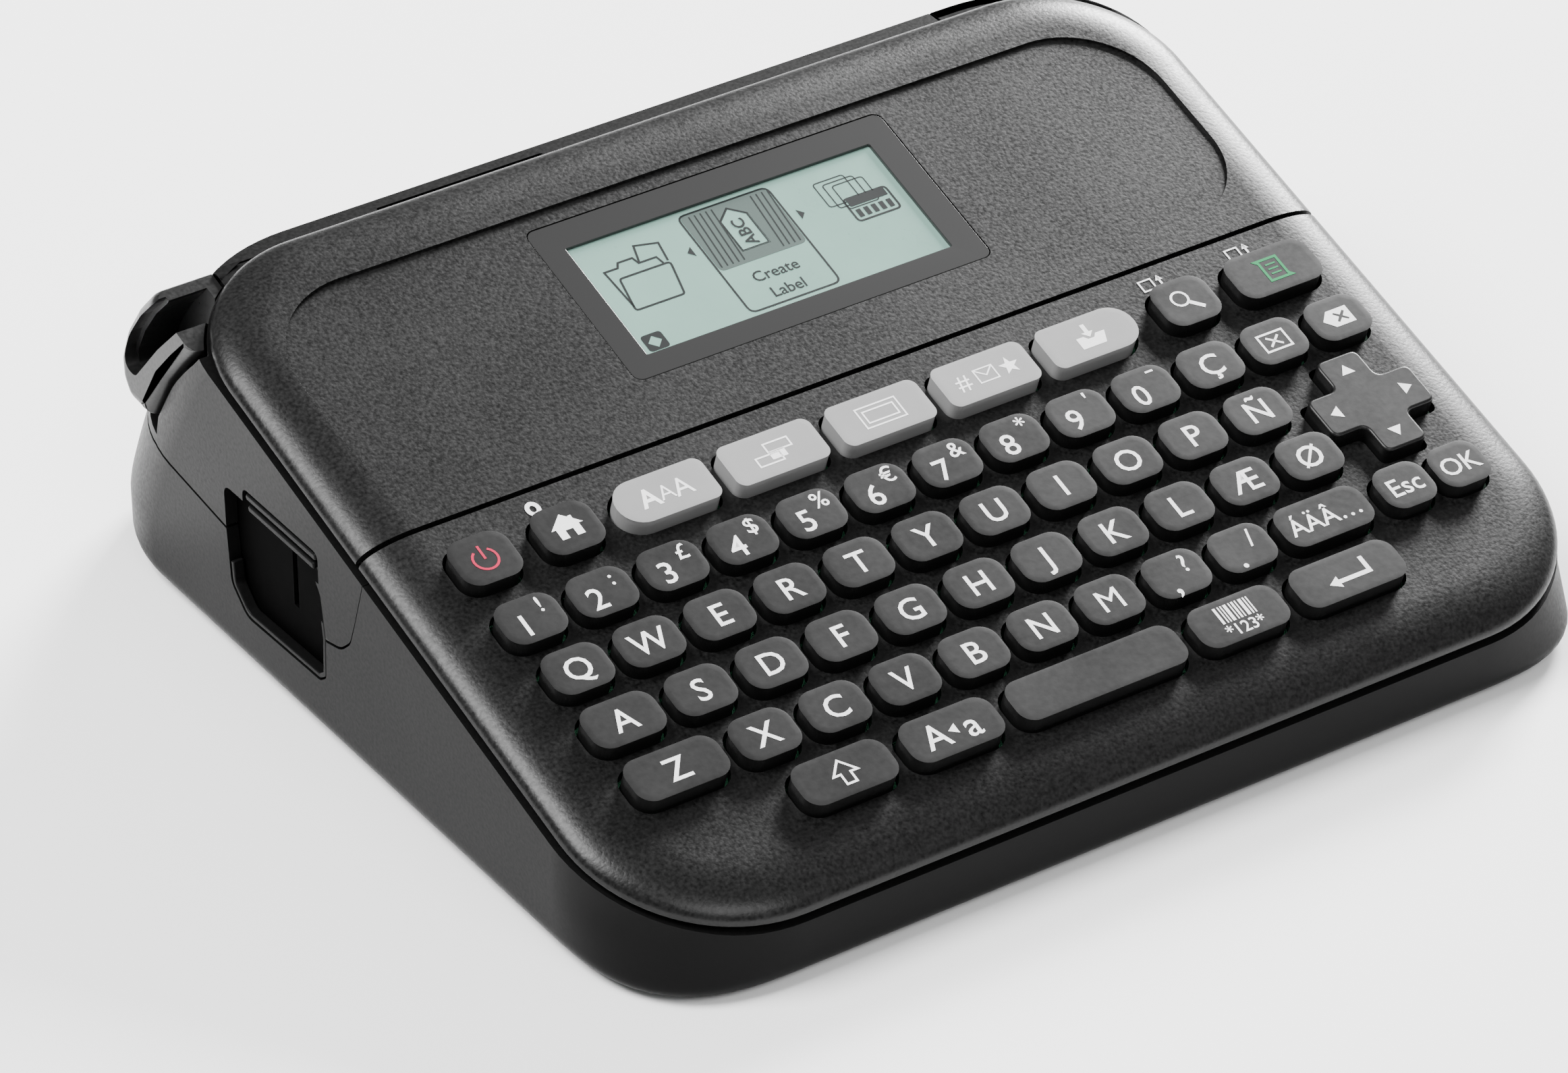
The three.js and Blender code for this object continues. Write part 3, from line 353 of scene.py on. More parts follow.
class Bench:
    """Modelling operations, each on one piece. Sizes are in millimetres."""

    @staticmethod
    def clear() -> None:
        """Leaves edit mode and deselects everything."""
        if bpy.context.object and bpy.context.object.mode != "OBJECT":
            bpy.ops.object.mode_set(mode="OBJECT")
        bpy.ops.object.select_all(action="DESELECT")

    @classmethod
    def take(cls, *pieces: bpy.types.Object) -> None:
        """Selects pieces, the first one active."""
        cls.clear()
        for piece in pieces:
            piece.select_set(True)
        bpy.context.view_layer.objects.active = pieces[0]

    @classmethod
    def edit(cls, piece: bpy.types.Object, mode: str = "VERT", everything: bool = True) -> None:
        """Opens a piece in edit mode, all or none of it selected."""
        cls.take(piece)
        bpy.ops.object.mode_set(mode="EDIT")
        bpy.ops.mesh.select_mode(type=mode)
        bpy.ops.mesh.select_all(action="SELECT" if everything else "DESELECT")

    @classmethod
    def pick(cls, piece: bpy.types.Object, test: Callable[[Vector], bool],
             mode: str = "VERT") -> None:
        """Selects the parts of a piece whose places pass a test, and leaves it in edit mode.

        Args:
            piece: The piece.
            test: Takes a place in millimetres; every vertex of a part has to pass.
            mode: VERT or EDGE.
        """
        cls.edit(piece, mode, everything=False)
        bpy.ops.object.mode_set(mode="OBJECT")
        mesh = piece.data
        good = [test(v.co / MM) for v in mesh.vertices]
        for part in mesh.vertices if mode == "VERT" else mesh.edges:
            corners = [part.index] if mode == "VERT" else part.vertices
            part.select = all(good[i] for i in corners)
        bpy.ops.object.mode_set(mode="EDIT")

    @classmethod
    def outline(cls, name: str, points: Sequence[Point], w: float = 0.0) -> bpy.types.Object:
        """A flat face with given corners, made from a circle whose vertices are moved to them.

        Args:
            name: The new piece's name.
            points: The corners, anticlockwise seen from above.
            w: Its height.

        Returns:
            The piece.
        """
        cls.clear()
        bpy.ops.mesh.primitive_circle_add(vertices=len(points), radius=1, fill_type="NGON")
        piece = bpy.context.object
        piece.name = name
        for vertex, (u, v) in zip(piece.data.vertices, points):
            vertex.co = Vector((u, v, w)) * MM
        if sum(a[0] * b[1] - b[0] * a[1] for a, b in zip(points, [*points[1:], points[0]])) < 0:
            piece.data.flip_normals()
        return piece

    @classmethod
    def plate(cls, name: str, centre: Point, size: Point, corners: float | Sequence[float],
              w: float = 0.0, steps: int = 6) -> bpy.types.Object:
        """A flat rectangle with round corners.

        Args:
            name: The new piece's name.
            centre: Its middle.
            size: Its width and height.
            corners: One radius, or four: front left, front right, back right, back left.
            w: Its height above the plane.
            steps: Faces in each corner.

        Returns:
            The piece.
        """
        cls.clear()
        middle = Vector((centre[0], centre[1], w)) * MM
        bpy.ops.mesh.primitive_plane_add(size=MM, location=middle)
        piece = bpy.context.object
        piece.name = name
        bpy.ops.object.transform_apply(location=True, rotation=True, scale=True)
        cls.edit(piece)
        bpy.ops.transform.resize(value=(size[0], size[1], 1), center_override=middle)
        radii = [corners] * 4 if isinstance(corners, (int, float)) else list(corners)
        signs = [(-1, -1), (1, -1), (1, 1), (-1, 1)]
        for (su, sv), radius in zip(signs, radii):
            spot = Vector((centre[0] + su * size[0] / 2, centre[1] + sv * size[1] / 2, w))
            cls.pick(piece, lambda p, spot=spot: (p - spot).length < 0.001)
            bpy.ops.mesh.bevel(offset=radius * MM, segments=steps, affect="VERTICES", profile=0.5)
        bpy.ops.object.mode_set(mode="OBJECT")
        return piece

    @classmethod
    def raise_to(cls, piece: bpy.types.Object, *heights: float) -> bpy.types.Object:
        """Extrudes a flat piece upwards through heights above its plane, each a ring of faces."""
        cls.edit(piece, "FACE")
        before = 0.0
        for height in heights:
            bpy.ops.mesh.extrude_region_move(
                TRANSFORM_OT_translate={"value": (0, 0, (height - before) * MM)})
            before = height
        bpy.ops.mesh.select_all(action="SELECT")
        bpy.ops.mesh.normals_make_consistent(inside=False)
        bpy.ops.object.mode_set(mode="OBJECT")
        return piece

    @classmethod
    def slab(cls, name: str, centre: Point, size: Point, corners: float | Sequence[float],
             low: float, height: float, steps: int = 6) -> bpy.types.Object:
        """A plate given a height: see plate, whose level is low here."""
        return cls.raise_to(cls.plate(name, centre, size, corners, low, steps), height)

    @classmethod
    def round_edges(cls, piece: bpy.types.Object, test: Callable[[Vector], bool], width: float,
                    steps: int = 4, profile: float = 0.5) -> bpy.types.Object:
        """Bevels the edges whose both ends pass a test."""
        cls.pick(piece, test, "EDGE")
        bpy.ops.mesh.bevel(offset=width * MM, segments=steps, profile=profile, clamp_overlap=False)
        bpy.ops.object.mode_set(mode="OBJECT")
        return piece

    @classmethod
    def grow(cls, piece: bpy.types.Object, test: Callable[[Vector], bool],
             size: Place, about: Place) -> None:
        """Resizes the vertices that pass a test about a point."""
        cls.pick(piece, test)
        bpy.ops.transform.resize(value=size, center_override=Vector(about) * MM)
        bpy.ops.object.mode_set(mode="OBJECT")

    @classmethod
    def slice(cls, piece: bpy.types.Object, at: Place, normal: Place) -> bpy.types.Object:
        """Cuts away what is beyond a plane, on the side of its normal, and closes the cut."""
        cls.edit(piece, "FACE")
        bpy.ops.mesh.bisect(plane_co=Vector(at) * MM, plane_no=normal, use_fill=True,
                            clear_outer=True, threshold=1e-7)
        bpy.ops.object.mode_set(mode="OBJECT")
        return piece

    @classmethod
    def slice_behind(cls, piece: bpy.types.Object, y: float, z: float) -> bpy.types.Object:
        """Takes away what is both behind y and above z."""
        return cls.combine(piece, cls.block("cut", (-130, y, z), (130, 130, 130)))

    @classmethod
    def combine(cls, piece: bpy.types.Object, other: bpy.types.Object,
                operation: str = "DIFFERENCE") -> bpy.types.Object:
        """Cuts a piece with another, adds the other to it, or keeps what they share."""
        cls.take(piece)
        modifier = piece.modifiers.new("boolean", "BOOLEAN")
        modifier.operation = operation
        modifier.solver = "EXACT"
        modifier.object = other
        bpy.ops.object.modifier_apply(modifier=modifier.name)
        bpy.data.objects.remove(other)
        return piece

    @classmethod
    def soften(cls, piece: bpy.types.Object, width: float, steps: int,
               angle: float) -> bpy.types.Object:
        """Rounds every edge sharper than an angle, in degrees."""
        cls.edit(piece)
        bpy.ops.mesh.remove_doubles(threshold=0.002 * MM)
        bpy.ops.object.mode_set(mode="OBJECT")
        modifier = piece.modifiers.new("soften", "BEVEL")
        modifier.width = width * MM
        modifier.segments = steps
        modifier.limit_method = "ANGLE"
        modifier.angle_limit = math.radians(angle)
        modifier.use_clamp_overlap = True
        modifier.miter_outer = "MITER_ARC"
        modifier.harden_normals = False
        bpy.ops.object.modifier_apply(modifier=modifier.name)
        return piece

    @classmethod
    def smooth(cls, piece: bpy.types.Object, angle: float = 35.0) -> bpy.types.Object:
        """Shades a piece smooth where its faces meet at less than an angle, in degrees."""
        cls.take(piece)
        bpy.ops.object.shade_smooth_by_angle(angle=math.radians(angle))
        modifier = piece.modifiers.new("weights", "WEIGHTED_NORMAL")
        modifier.keep_sharp = True
        modifier.weight = 100
        bpy.ops.object.modifier_apply(modifier=modifier.name)
        return piece

    @classmethod
    def polish(cls, piece: bpy.types.Object, width: float, steps: int = 2,
               sharp: float = 50.0, flat: float = 35.0) -> bpy.types.Object:
        """Rounds the edges sharper than one angle, then shades smooth below another."""
        return cls.smooth(cls.soften(piece, width, steps, sharp), flat)

    @classmethod
    def merge(cls, name: str, pieces: Sequence[bpy.types.Object]) -> bpy.types.Object:
        """Joins pieces into one object."""
        cls.take(*pieces)
        if len(pieces) > 1:
            bpy.ops.object.join()
        pieces[0].name = name
        return pieces[0]

    @classmethod
    def copy(cls, piece: bpy.types.Object, name: str) -> bpy.types.Object:
        """A copy of a piece with its own mesh."""
        twin = piece.copy()
        twin.data = piece.data.copy()
        twin.name = name
        bpy.context.collection.objects.link(twin)
        return twin

    @classmethod
    def rod(cls, name: str, radius: float, length: float, centre: Place, axis: str = "Z",
            sides: int = 32) -> bpy.types.Object:
        """A round rod along an axis."""
        cls.clear()
        turn = {"X": (0, math.pi / 2, 0), "Y": (math.pi / 2, 0, 0), "Z": (0, 0, 0)}[axis]
        bpy.ops.mesh.primitive_cylinder_add(
            vertices=sides, radius=radius * MM, depth=length * MM,
            location=Vector(centre) * MM, rotation=turn)
        piece = bpy.context.object
        piece.name = name
        bpy.ops.object.transform_apply(location=True, rotation=True, scale=True)
        return piece

    @classmethod
    def block(cls, name: str, low: Place, high: Place) -> bpy.types.Object:
        """A box between two corners."""
        cls.clear()
        low_v, high_v = Vector(low), Vector(high)
        bpy.ops.mesh.primitive_cube_add(size=MM, location=(low_v + high_v) / 2 * MM)
        piece = bpy.context.object
        piece.name = name
        piece.scale = high_v - low_v
        bpy.ops.object.transform_apply(location=True, rotation=True, scale=True)
        return piece

    @staticmethod
    def lay(piece: bpy.types.Object, matrix: Matrix) -> bpy.types.Object:
        """Bakes a place into a piece's mesh."""
        piece.data.transform(matrix)
        piece.data.update()
        return piece


def smooth_line(points: Sequence[Point], steps: int = 8) -> list[Point]:
    """A smooth line through points, as even samples between each pair."""
    padded = [points[0], *points, points[-1]]
    line: list[Point] = []
    for a, b, c, d in zip(padded, padded[1:], padded[2:], padded[3:]):
        for i in range(steps):
            t = i / steps
            line.append(tuple(
                0.5 * (2 * q + (r - p) * t + (2 * p - 5 * q + 4 * r - s) * t * t
                       + (3 * q - p - 3 * r + s) * t ** 3)
                for p, q, r, s in zip(a, b, c, d)))
    line.append(points[-1])
    return line


def rounded(points: Sequence[Point], radii: Sequence[float], steps: int = 5) -> list[Point]:
    """A polygon with its corners rounded."""
    out: list[Point] = []
    count = len(points)
    for i, radius in enumerate(radii):
        corner, before, after = (Vector(points[j % count]) for j in (i, i - 1, i + 1))
        if radius <= 0:
            out.append(tuple(corner))
            continue
        a, b = (before - corner).normalized(), (after - corner).normalized()
        half = math.acos(max(-1, min(1, a.dot(b)))) / 2
        reach = min(radius / math.tan(half), (before - corner).length / 2,
                    (after - corner).length / 2)
        for k in range(steps + 1):
            t = k / steps
            out.append(tuple(corner + a * reach * (1 - t) ** 2 + b * reach * t ** 2))
    return out


# ---------------------------------------------------------------- the case's overall form


@dataclass
class CaseForm:
    """The wedge of the case: its plan, its back curve and the plane of its rim."""

    width: float = 188.0
    depth: float = 177.0
    lift: float = 1.0
    wall: float = 2.2
    corner: float = 28.0
    rim_corner: float = 25.0
    bottom_edge: float = 3.0
    foot_bulge: float = 0.12
    rim_z: float = 39.448
    tilt: float = 0.30897
    rim_back: float = 60.351
    split: float = -4.4
    top: float = 74.0
    profile: list[Point] = field(default_factory=lambda: [
        (0, 1.6), (3, 0), (10, 0.3), (26, 7.4), (41, 15.6), (50, 21.6), (55.2, 26.0), (72, 41)])

    @property
    def panel(self) -> Matrix:
        """From the panel's u, v, w in metres to the object's frame."""
        return Matrix.Translation((0, 0, self.rim_z * MM)) @ Matrix.Rotation(self.tilt, 4, "X")

    @property
    def rim_normal(self) -> Place:
        """Out of the panel."""
        return (0.0, -math.sin(self.tilt), math.cos(self.tilt))

    @property
    def rim_back_y(self) -> float:
        """The rim's back edge."""
        return self.rim_back * math.cos(self.tilt)

    def setback(self, z: float) -> float:
        """How far the back wall stands in from the overall depth at a height."""
        line = smooth_line(self.profile)
        height = max(0.0, min(z - 2.0, self.profile[-1][0]))
        for (h0, s0), (h1, s1) in zip(line, line[1:]):
            if h0 <= height <= h1:
                return max(0.0, s0 + (s1 - s0) * (height - h0) / max(h1 - h0, 1e-6))
        return self.profile[-1][1]

    def solid(self, name: str, inset: float = 0.0, floor: float | None = None,
              edge: float | None = None) -> bpy.types.Object:
        """The whole case as one closed block.

        Args:
            name: The new piece's name.
            inset: How far its walls stand inside the case's.
            floor: Its underside; the case's own where it isn't given.
            edge: Rounding of its bottom edge; the case's own where it isn't given.

        Returns:
            The piece.
        """
        low = self.lift if floor is None else floor
        fillet = self.bottom_edge if edge is None else edge
        size = (self.width - 2 * inset, self.depth - 2 * inset)
        piece = Bench.plate(name, (0, 0), size, self.corner - inset, low, 18)
        levels = [fillet + 0.8 + 2.0 * i for i in range(35)]
        Bench.raise_to(piece, *[h for h in levels if h < self.top - low], self.top - low)
        if fillet > 0:
            Bench.round_edges(piece, lambda p: abs(p.z - low) < 0.01, fillet, 6)
        for height in sorted({round(v.co.z / MM, 3) for v in piece.data.vertices}):
            back = self.setback(height)
            for vertex in piece.data.vertices:
                if vertex.co.y > 0 and abs(vertex.co.z / MM - height) < 0.002:
                    vertex.co.y -= back * MM
        for vertex in piece.data.vertices:
            x, y, z = vertex.co / MM
            arm = Vector((abs(x) - (self.width / 2 - self.corner),
                          -y - (self.depth / 2 - self.corner)))
            if min(arm) > 0:
                fuller = self.foot_bulge * max(0.0, 1 - z / 13) * math.sin(
                    2 * math.atan2(arm.y, arm.x)) ** 2
                vertex.co.x += math.copysign(arm.x * fuller, x) * MM
                vertex.co.y -= arm.y * fuller * MM
        return piece

    def below_rim(self, piece: bpy.types.Object, drop: float = 0.0) -> bpy.types.Object:
        """Cuts a piece off at the rim's plane, or a little below it."""
        normal = self.rim_normal
        return Bench.slice(piece, (0, -drop * normal[1], self.rim_z - drop * normal[2]), normal)

    def column(self, name: str, inset: float) -> bpy.types.Object:
        """An upright block with the plan of the rim."""
        front, back = -self.depth / 2 + inset, self.rim_back_y - inset
        size = (self.width - 2 * inset, back - front)
        outer, inner = self.corner - inset, self.rim_corner - inset
        return Bench.slab(name, (0, (front + back) / 2), size, (outer, outer, inner, inner), -5,
                          95, 24)


def facing_left(x: float, y: float = 0.0, z: float = 0.0) -> Matrix:
    """Stands a flat shape up along Y and Z, its height along X, moved by x, y and z."""
    return Matrix(((0, 0, 1, x * MM), (1, 0, 0, y * MM), (0, 1, 0, z * MM), (0, 0, 0, 1)))


def side_cutter(name: str, outline: Sequence[Point], x0: float, x1: float) -> bpy.types.Object:
    """A block with a given outline seen from the side.

    Args:
        name: The new piece's name.
        outline: Corners as (Y, Z).
        x0: Its left end.
        x1: Its right end.

    Returns:
        The piece.
    """
    piece = Bench.raise_to(Bench.outline(name, outline), x1 - x0)
    return Bench.lay(piece, facing_left(x0))


def dress(piece: bpy.types.Object, finish: Finish, body: str,
          replaces: Iterable[str] = ()) -> bpy.types.Object:
    """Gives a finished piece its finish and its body.

    Args:
        piece: The piece.
        finish: Its finish.
        body: The body that it moves with.
        replaces: CAD nodes that it is shown in place of.

    Returns:
        The piece.
    """
    piece.data.materials.clear()
    piece.data.materials.append(finish.material())
    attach(piece, body)
    names = list(replaces)
    if names:
        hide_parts(*names)
    LOG.info("%s: %d faces, on %s", piece.name, len(piece.data.polygons), body)
    return piece


@dataclass
class Shells:
    """Base, upper frame, rear cover and cutter lever, all cut from the case's form."""

    form: CaseForm
    gap: float = 0.5
    seam: list[Point] = field(default_factory=lambda: [
        (-10.5, 48), (-7.7, 38.9), (-4.4, 28.6), (-2.6, 23.6), (0.4, 20.9), (4.8, 19.9),
        (36, 24.6), (58.8, 27.7), (105.4, 28.2)])
    exit_mouth: list[Point] = field(default_factory=lambda: [
        (5.4, 12.6), (7.4, 11.2), (30.2, 10.4), (34.8, 14.6), (35.6, 24.6), (35.8, 33.0),
        (9.6, 33.0), (6.2, 28.0), (5.0, 20.0)])
    lever_seam: list[Point] = field(default_factory=lambda: [
        (60.0, 33.0), (54.2, 41.7), (49.0, 47.4), (43.7, 52.7), (37.4, 60.6)])
    mouth_corners: tuple[float, ...] = (1.5, 1.5, 4, 3, 0, 2, 2, 3, 0)
    lever_inner_x: float = -82.0
    rear: tuple[float, float, float, float] = (-81.6, 61.6, 12.4, 58.094)
    pivot: Point = (38.0, 36.0)
    strip_z: float = 57.2
    ear: list[Point] = field(default_factory=lambda: [
        (43.7, 52.7), (49.0, 47.4), (54.2, 41.7), (60.0, 32.2), (66.4, 32.6), (68.8, 36.2),
        (69.0, 40.0), (66.6, 46.0), (62.4, 52.0), (57.5, 57.2), (49.0, 58.0), (43.7, 56.0)])
    bowl: list[Point] = field(default_factory=lambda: [
        (46.6, 66.0), (47.4, 56.0), (55.6, 47.8), (63.6, 38.6), (66.2, 38.8), (66.4, 41.6),
        (63.6, 46.6), (59.6, 51.8), (55.0, 56.4), (54.0, 66.0)])

    def upper_outline(self, gap: float) -> list[Point]:
        """The side view of what is above the seam."""
        line = rounded(self.seam, [0, 0, 0, 4, 5, 2, 0, 0, 0])
        return [(y, z + gap) for y, z in line] + [(105.4, 120), (-10.5, 120)]

    def shell(self, name: str) -> bpy.types.Object:
        """The whole case as an open box with its walls."""
        form = self.form
        outside = form.below_rim(form.solid(name))
        inside = form.solid("inside", form.wall, form.lift + form.wall, 2.0)
        return Bench.combine(outside, inside)

    def rear_box(self, gap: float) -> bpy.types.Object:
        """The space of the rear cover."""
        x0, x1, z0, y0 = self.rear
        high = 100.0
        piece = Bench.slab("rear_space", ((x0 + x1) / 2, (z0 + high) / 2), (
            x1 - x0 + 2 * gap, high - z0 + 2 * gap), (3, 3, 0.1, 0.1), 0, 80, 5)
        turn = Matrix(((1, 0, 0, 0), (0, 0, 1, (y0 - gap) * MM), (0, 1, 0, 0), (0, 0, 0, 1)))
        Bench.lay(piece, turn)
        piece.data.flip_normals()
        return piece

    def lever_space(self, gap: float, bottom: float, lead: float = 0.0) -> bpy.types.Object:
        """The space of the cutter lever."""
        line = [(y + gap - lead, z) for y, z in smooth_line(self.lever_seam, 3)]
        outline = [(line[0][0], bottom), *line, (line[-1][0], 110), (110, 110), (110, bottom)]
        return side_cutter("lever_space", outline, -120, self.lever_inner_x - gap)

    def base(self) -> bpy.types.Object:
        """The base: underside and the walls below the seam, with the tape exit's lower half."""
        piece = self.shell("base")
        Bench.combine(piece, side_cutter("above", self.upper_outline(0), -120, 120))
        mouth = rounded(self.exit_mouth, self.mouth_corners)
        Bench.combine(piece, side_cutter("mouth", mouth, -120, -90.8))
        Bench.combine(piece, self.rear_box(self.gap))
        jack = Bench.rod("jack_hole", 5.6, 12, (92, 46, 14.5), "X", 40)
        Bench.combine(piece, jack)
        usb = Bench.slab("usb_hole", (0, 0), (8.8, 3.8), 1.2, 0, 12)
        Bench.combine(piece, Bench.lay(usb, facing_left(88, 28, 13.6)))
        self.underside(piece)
        Bench.polish(piece, 0.35)
        return dress(piece, Finish.WALL, "case", ["base_shell"])

    def underside(self, piece: bpy.types.Object) -> None:
        """Cuts the foot pockets, screw wells, label recess and a door's outline groove into the
        underside.
        """
        low = self.form.lift
        for x in (-1, 1):
            for y in (-62, 56):
                Bench.combine(piece, Bench.rod("pocket", 6.3, 3.2, (x * 78, y, low), "Z", 40))
            for y in (-72, 66):
                Bench.combine(piece, Bench.rod("well", 3.1, 5.2, (x * 70, y, low), "Z", 32))
        Bench.combine(piece, Bench.slab("recess", (0, -20), (70, 34), 3, low - 1, 1.4))
        ring = Bench.slab("door", (30, 32), (92, 52), 4, low - 1, 1.5)
        inner = Bench.slab("door_in", (30, 32), (91, 51), 3.5, low - 2, 4)
        Bench.combine(piece, Bench.combine(ring, inner))

    def upper(self) -> bpy.types.Object:
        """The upper frame: walls above the seam, the tape exit's brow and the lever's pocket."""
        form = self.form
        piece = self.shell("frame")
        Bench.combine(piece, side_cutter("keep", self.upper_outline(self.gap), -120, 120),
                      "INTERSECT")
        mouth = rounded(self.exit_mouth, self.mouth_corners)
        Bench.combine(piece, side_cutter("mouth", mouth, -120, -90.8))
        brow = rounded([(6.6, 30.0), (29.8, 30.0), (29.8, 35.6), (6.6, 35.6)], [0, 0, 1.5, 1.5], 4)
        Bench.combine(piece, side_cutter("brow", brow, -120, -93.0))
        ledge_z = self.lever_seam[0][1] - 3.2
        Bench.combine(piece, self.lever_space(0, ledge_z, 1.2))
        Bench.combine(piece, self.rear_box(self.gap))
        Bench.slice_behind(piece, form.rim_back_y + 0.05, self.strip_z)
        edge = self.strip("edge", False)
        for part in (piece, edge):
            Bench.polish(part, 0.3)
        parts = [piece, edge, *self.pocket(ledge_z), *self.inner_walls()]
        whole = Bench.merge("upper_frame_shell", parts)
        return dress(whole, Finish.WALL, "case", ["upper_frame"])

    def strip(self, name: str, behind: bool) -> bpy.types.Object:
        """The flat top edge behind the rim: the rear cover's part of it, or the rest."""
        form = self.form
        piece = form.solid(name, 0.02)
        Bench.combine(piece, Bench.block("level", (-120, -120, 54.6), (120, 120, self.strip_z)),
                      "INTERSECT")
        Bench.combine(piece, form.column("rim", 0.6))
        form.below_rim(piece)
        if behind:
            return Bench.combine(piece, self.rear_box(0), "INTERSECT")
        Bench.combine(piece, self.rear_box(self.gap))
        return Bench.combine(piece, self.lever_space(0, 20, 1.2))

    def pocket(self, ledge_z: float) -> list[bpy.types.Object]:
        """The wall and floor behind the cutter lever, and its axle."""
        form = self.form
        corner = Bench.combine(form.column("pocket_wall", 0), form.column("pocket_hole", form.wall))
        Bench.combine(corner, self.lever_space(0, ledge_z, 1.2), "INTERSECT")
        Bench.combine(corner, form.solid("bound", 0.05), "INTERSECT")
        form.below_rim(corner)
        ledge = form.solid("ledge", 0.3)
        Bench.combine(ledge, Bench.block("ledge_keep", (-120, 36, ledge_z - 1.4),
                                         (self.lever_inner_x, 120, ledge_z)), "INTERSECT")
        Bench.combine(ledge, form.column("ledge_hole", form.wall - 0.1))
        Bench.combine(ledge, self.rear_box(self.gap))
        axle = Bench.rod("axle", 1.5, 10, (-86.6, *self.pivot), "X")
        for part in (corner, ledge):
            Bench.polish(part, 0.25)
        return [corner, ledge, Bench.smooth(axle)]

    def inner_walls(self) -> list[bpy.types.Object]:
        """The cross walls that part the tape bay from the keyboard and carry the rear rim."""
        form = self.form
        walls = []
        for name, y0, y1, z0 in (("bulkhead", -1.6, 0.0, 6.4), ("beam", 50.4, 52.9, 46.0)):
            wall = Bench.block(name, (-92, y0, z0), (92, y1, 80))
            Bench.combine(wall, form.solid("bound", form.wall + 0.45), "INTERSECT")
            Bench.combine(wall, form.column("rim", 1.0), "INTERSECT")
            form.below_rim(wall, 0.5)
            walls.append(Bench.polish(wall, 0.2, 1))
        return walls

    def rear_cover(self) -> bpy.types.Object:
        """The rear cover with its finger grip and moulded ribs inside."""
        form = self.form
        piece = self.shell("rear")
        Bench.combine(piece, self.rear_box(0), "INTERSECT")
        Bench.slice_behind(piece, form.rim_back_y, self.strip_z - 0.5)
        Bench.combine(piece, self.strip("edge", True), "UNION")
        grip = Bench.slab("grip", (-34, 59.6), (32, 1.0), 0.45, self.strip_z - 1.6, 3.0, 4)
        Bench.combine(piece, grip)
        for x in (-60, -30, 0, 30):
            rib = Bench.block("rib", (x, 58.5, 20), (x + 1.4, 92, 50))
            Bench.combine(rib, form.solid("bound", form.wall - 0.4), "INTERSECT")
            Bench.combine(rib, form.solid("hollow", form.wall + 3.0))
            Bench.combine(piece, rib, "UNION")
        Bench.polish(piece, 0.35)
        piece.name = "rear_cover_shell"
        return dress(piece, Finish.REAR, "rear_door", ["rear_cover"])

    def lever(self) -> bpy.types.Object:
        """The cutter lever: thumb bowl, skirt, hub and the arm to the blade."""
        form = self.form
        outline = rounded([(y + 0.35, z) for y, z in self.ear],
                          [0.5, 0, 0, 1, 3, 4, 4, 4, 6, 4, 2, 0.5], 4)
        left = -form.width / 2 + 0.05
        cap = side_cutter("cap", outline, left, self.lever_inner_x - 0.3)
        Bench.round_edges(cap, lambda p: p.x < left + 0.01, 2.6, 5)
        form.below_rim(cap, 0.5)
        Bench.combine(cap, form.column("rim", -0.5))
        radii = [0, 2, 2, 2, 2, 3, 4, 4, 3, 0]
        wider = [(y + (1.0 if i > 4 else 0.0), z) for i, (y, z) in enumerate(self.bowl)]
        for name, line, x0, x1 in (("pit", self.bowl, -91.8, -84.6), ("mouth", wider, -99, -91.6)):
            Bench.combine(cap, side_cutter(name, rounded(line, radii, 4), x0, x1))
        Bench.polish(cap, 0.35, 3, 45, 45)
        y, z = self.pivot
        outline = [(y, z - 3), (52, 35), (60, 37), (56, 45), (y, z + 3)]
        arm = side_cutter("arm", outline, -90.2, -86.2)
        hub = Bench.rod("hub", 3.4, 4.8, (-87.8, y, z), "X")
        tip = side_cutter("tip", [(y, z - 3), (y, z + 3), (28, 28), (22, 26), (22, 22.5)],
                          -89.0, -87.8)
        for part in (arm, hub, tip):
            Bench.polish(part, 0.25)
        lever = Bench.merge("cutter_lever_cap", [cap, arm, hub, tip])
        return dress(lever, Finish.LEVER, "cutter", ["cutter_lever"])

    def guard(self) -> bpy.types.Object:
        """The two-lipped bar across the top of the tape exit."""
        mouth = rounded(self.exit_mouth, self.mouth_corners)
        ring = side_cutter("ring", offset_line(mouth, 0.3, True), -93.9, -92.0)
        Bench.combine(ring, side_cutter("core", offset_line(mouth, 1.15, True), -99, -88))
        Bench.slice(ring, (0, 0, 24.0), (0, 0.15, 1))
        Bench.polish(ring, 0.3, 3)
        # The slotted plate behind the tape exit is made near black, as painted shade for the dark
        # inside of the slot.
        plate = side_cutter("plate", offset_line(mouth, -0.8, True), -91.6, -91.0)
        Bench.combine(plate, Bench.block("slot", (-99, 17.3, 18.5), (-80, 18.7, 40)))
        plate.name = "exit_shade_plate"
        dress(plate, Finish.PAINTED_SHADE, "case")
        lips = []
        for z, out in ((34.3, 0.0), (32.4, 0.6)):
            lip = Bench.slab("lip", (18.2, z), (21.5 - out * 2, 1.2), 0.5, 0, 2.0, 4)
            lips.append(Bench.polish(Bench.lay(lip, facing_left(-93.95)), 0.35, 3))
        bar = Bench.merge("exit_guard", [*lips, ring])
        return dress(bar, Finish.WALL, "case")

    def make(self) -> None:
        """Builds every shell."""
        self.base()
        self.upper()
        self.rear_cover()
        self.lever()
        self.guard()


# ---------------------------------------------------------------- keys


@dataclass
class Key:
    """One key cap.

    Attributes:
        name: Its name.
        body: The body that it moves with.
        node: The CAD node that it stands for.
        u: Its middle across the panel.
        v: Its middle up the panel.
        w: Its width.
        h: Its height up the panel.
        marks: Legends: text, offset across, offset up and letter height.
        corners: Corner radii, as one number or four.
        grey: True for the light keys.
    """

    name: str
    body: str
    node: str
    u: float
    v: float
    w: float
    h: float
    marks: list[tuple[str, float, float, float]] = field(default_factory=list)
    corners: Any = 2.9
    grey: bool = False


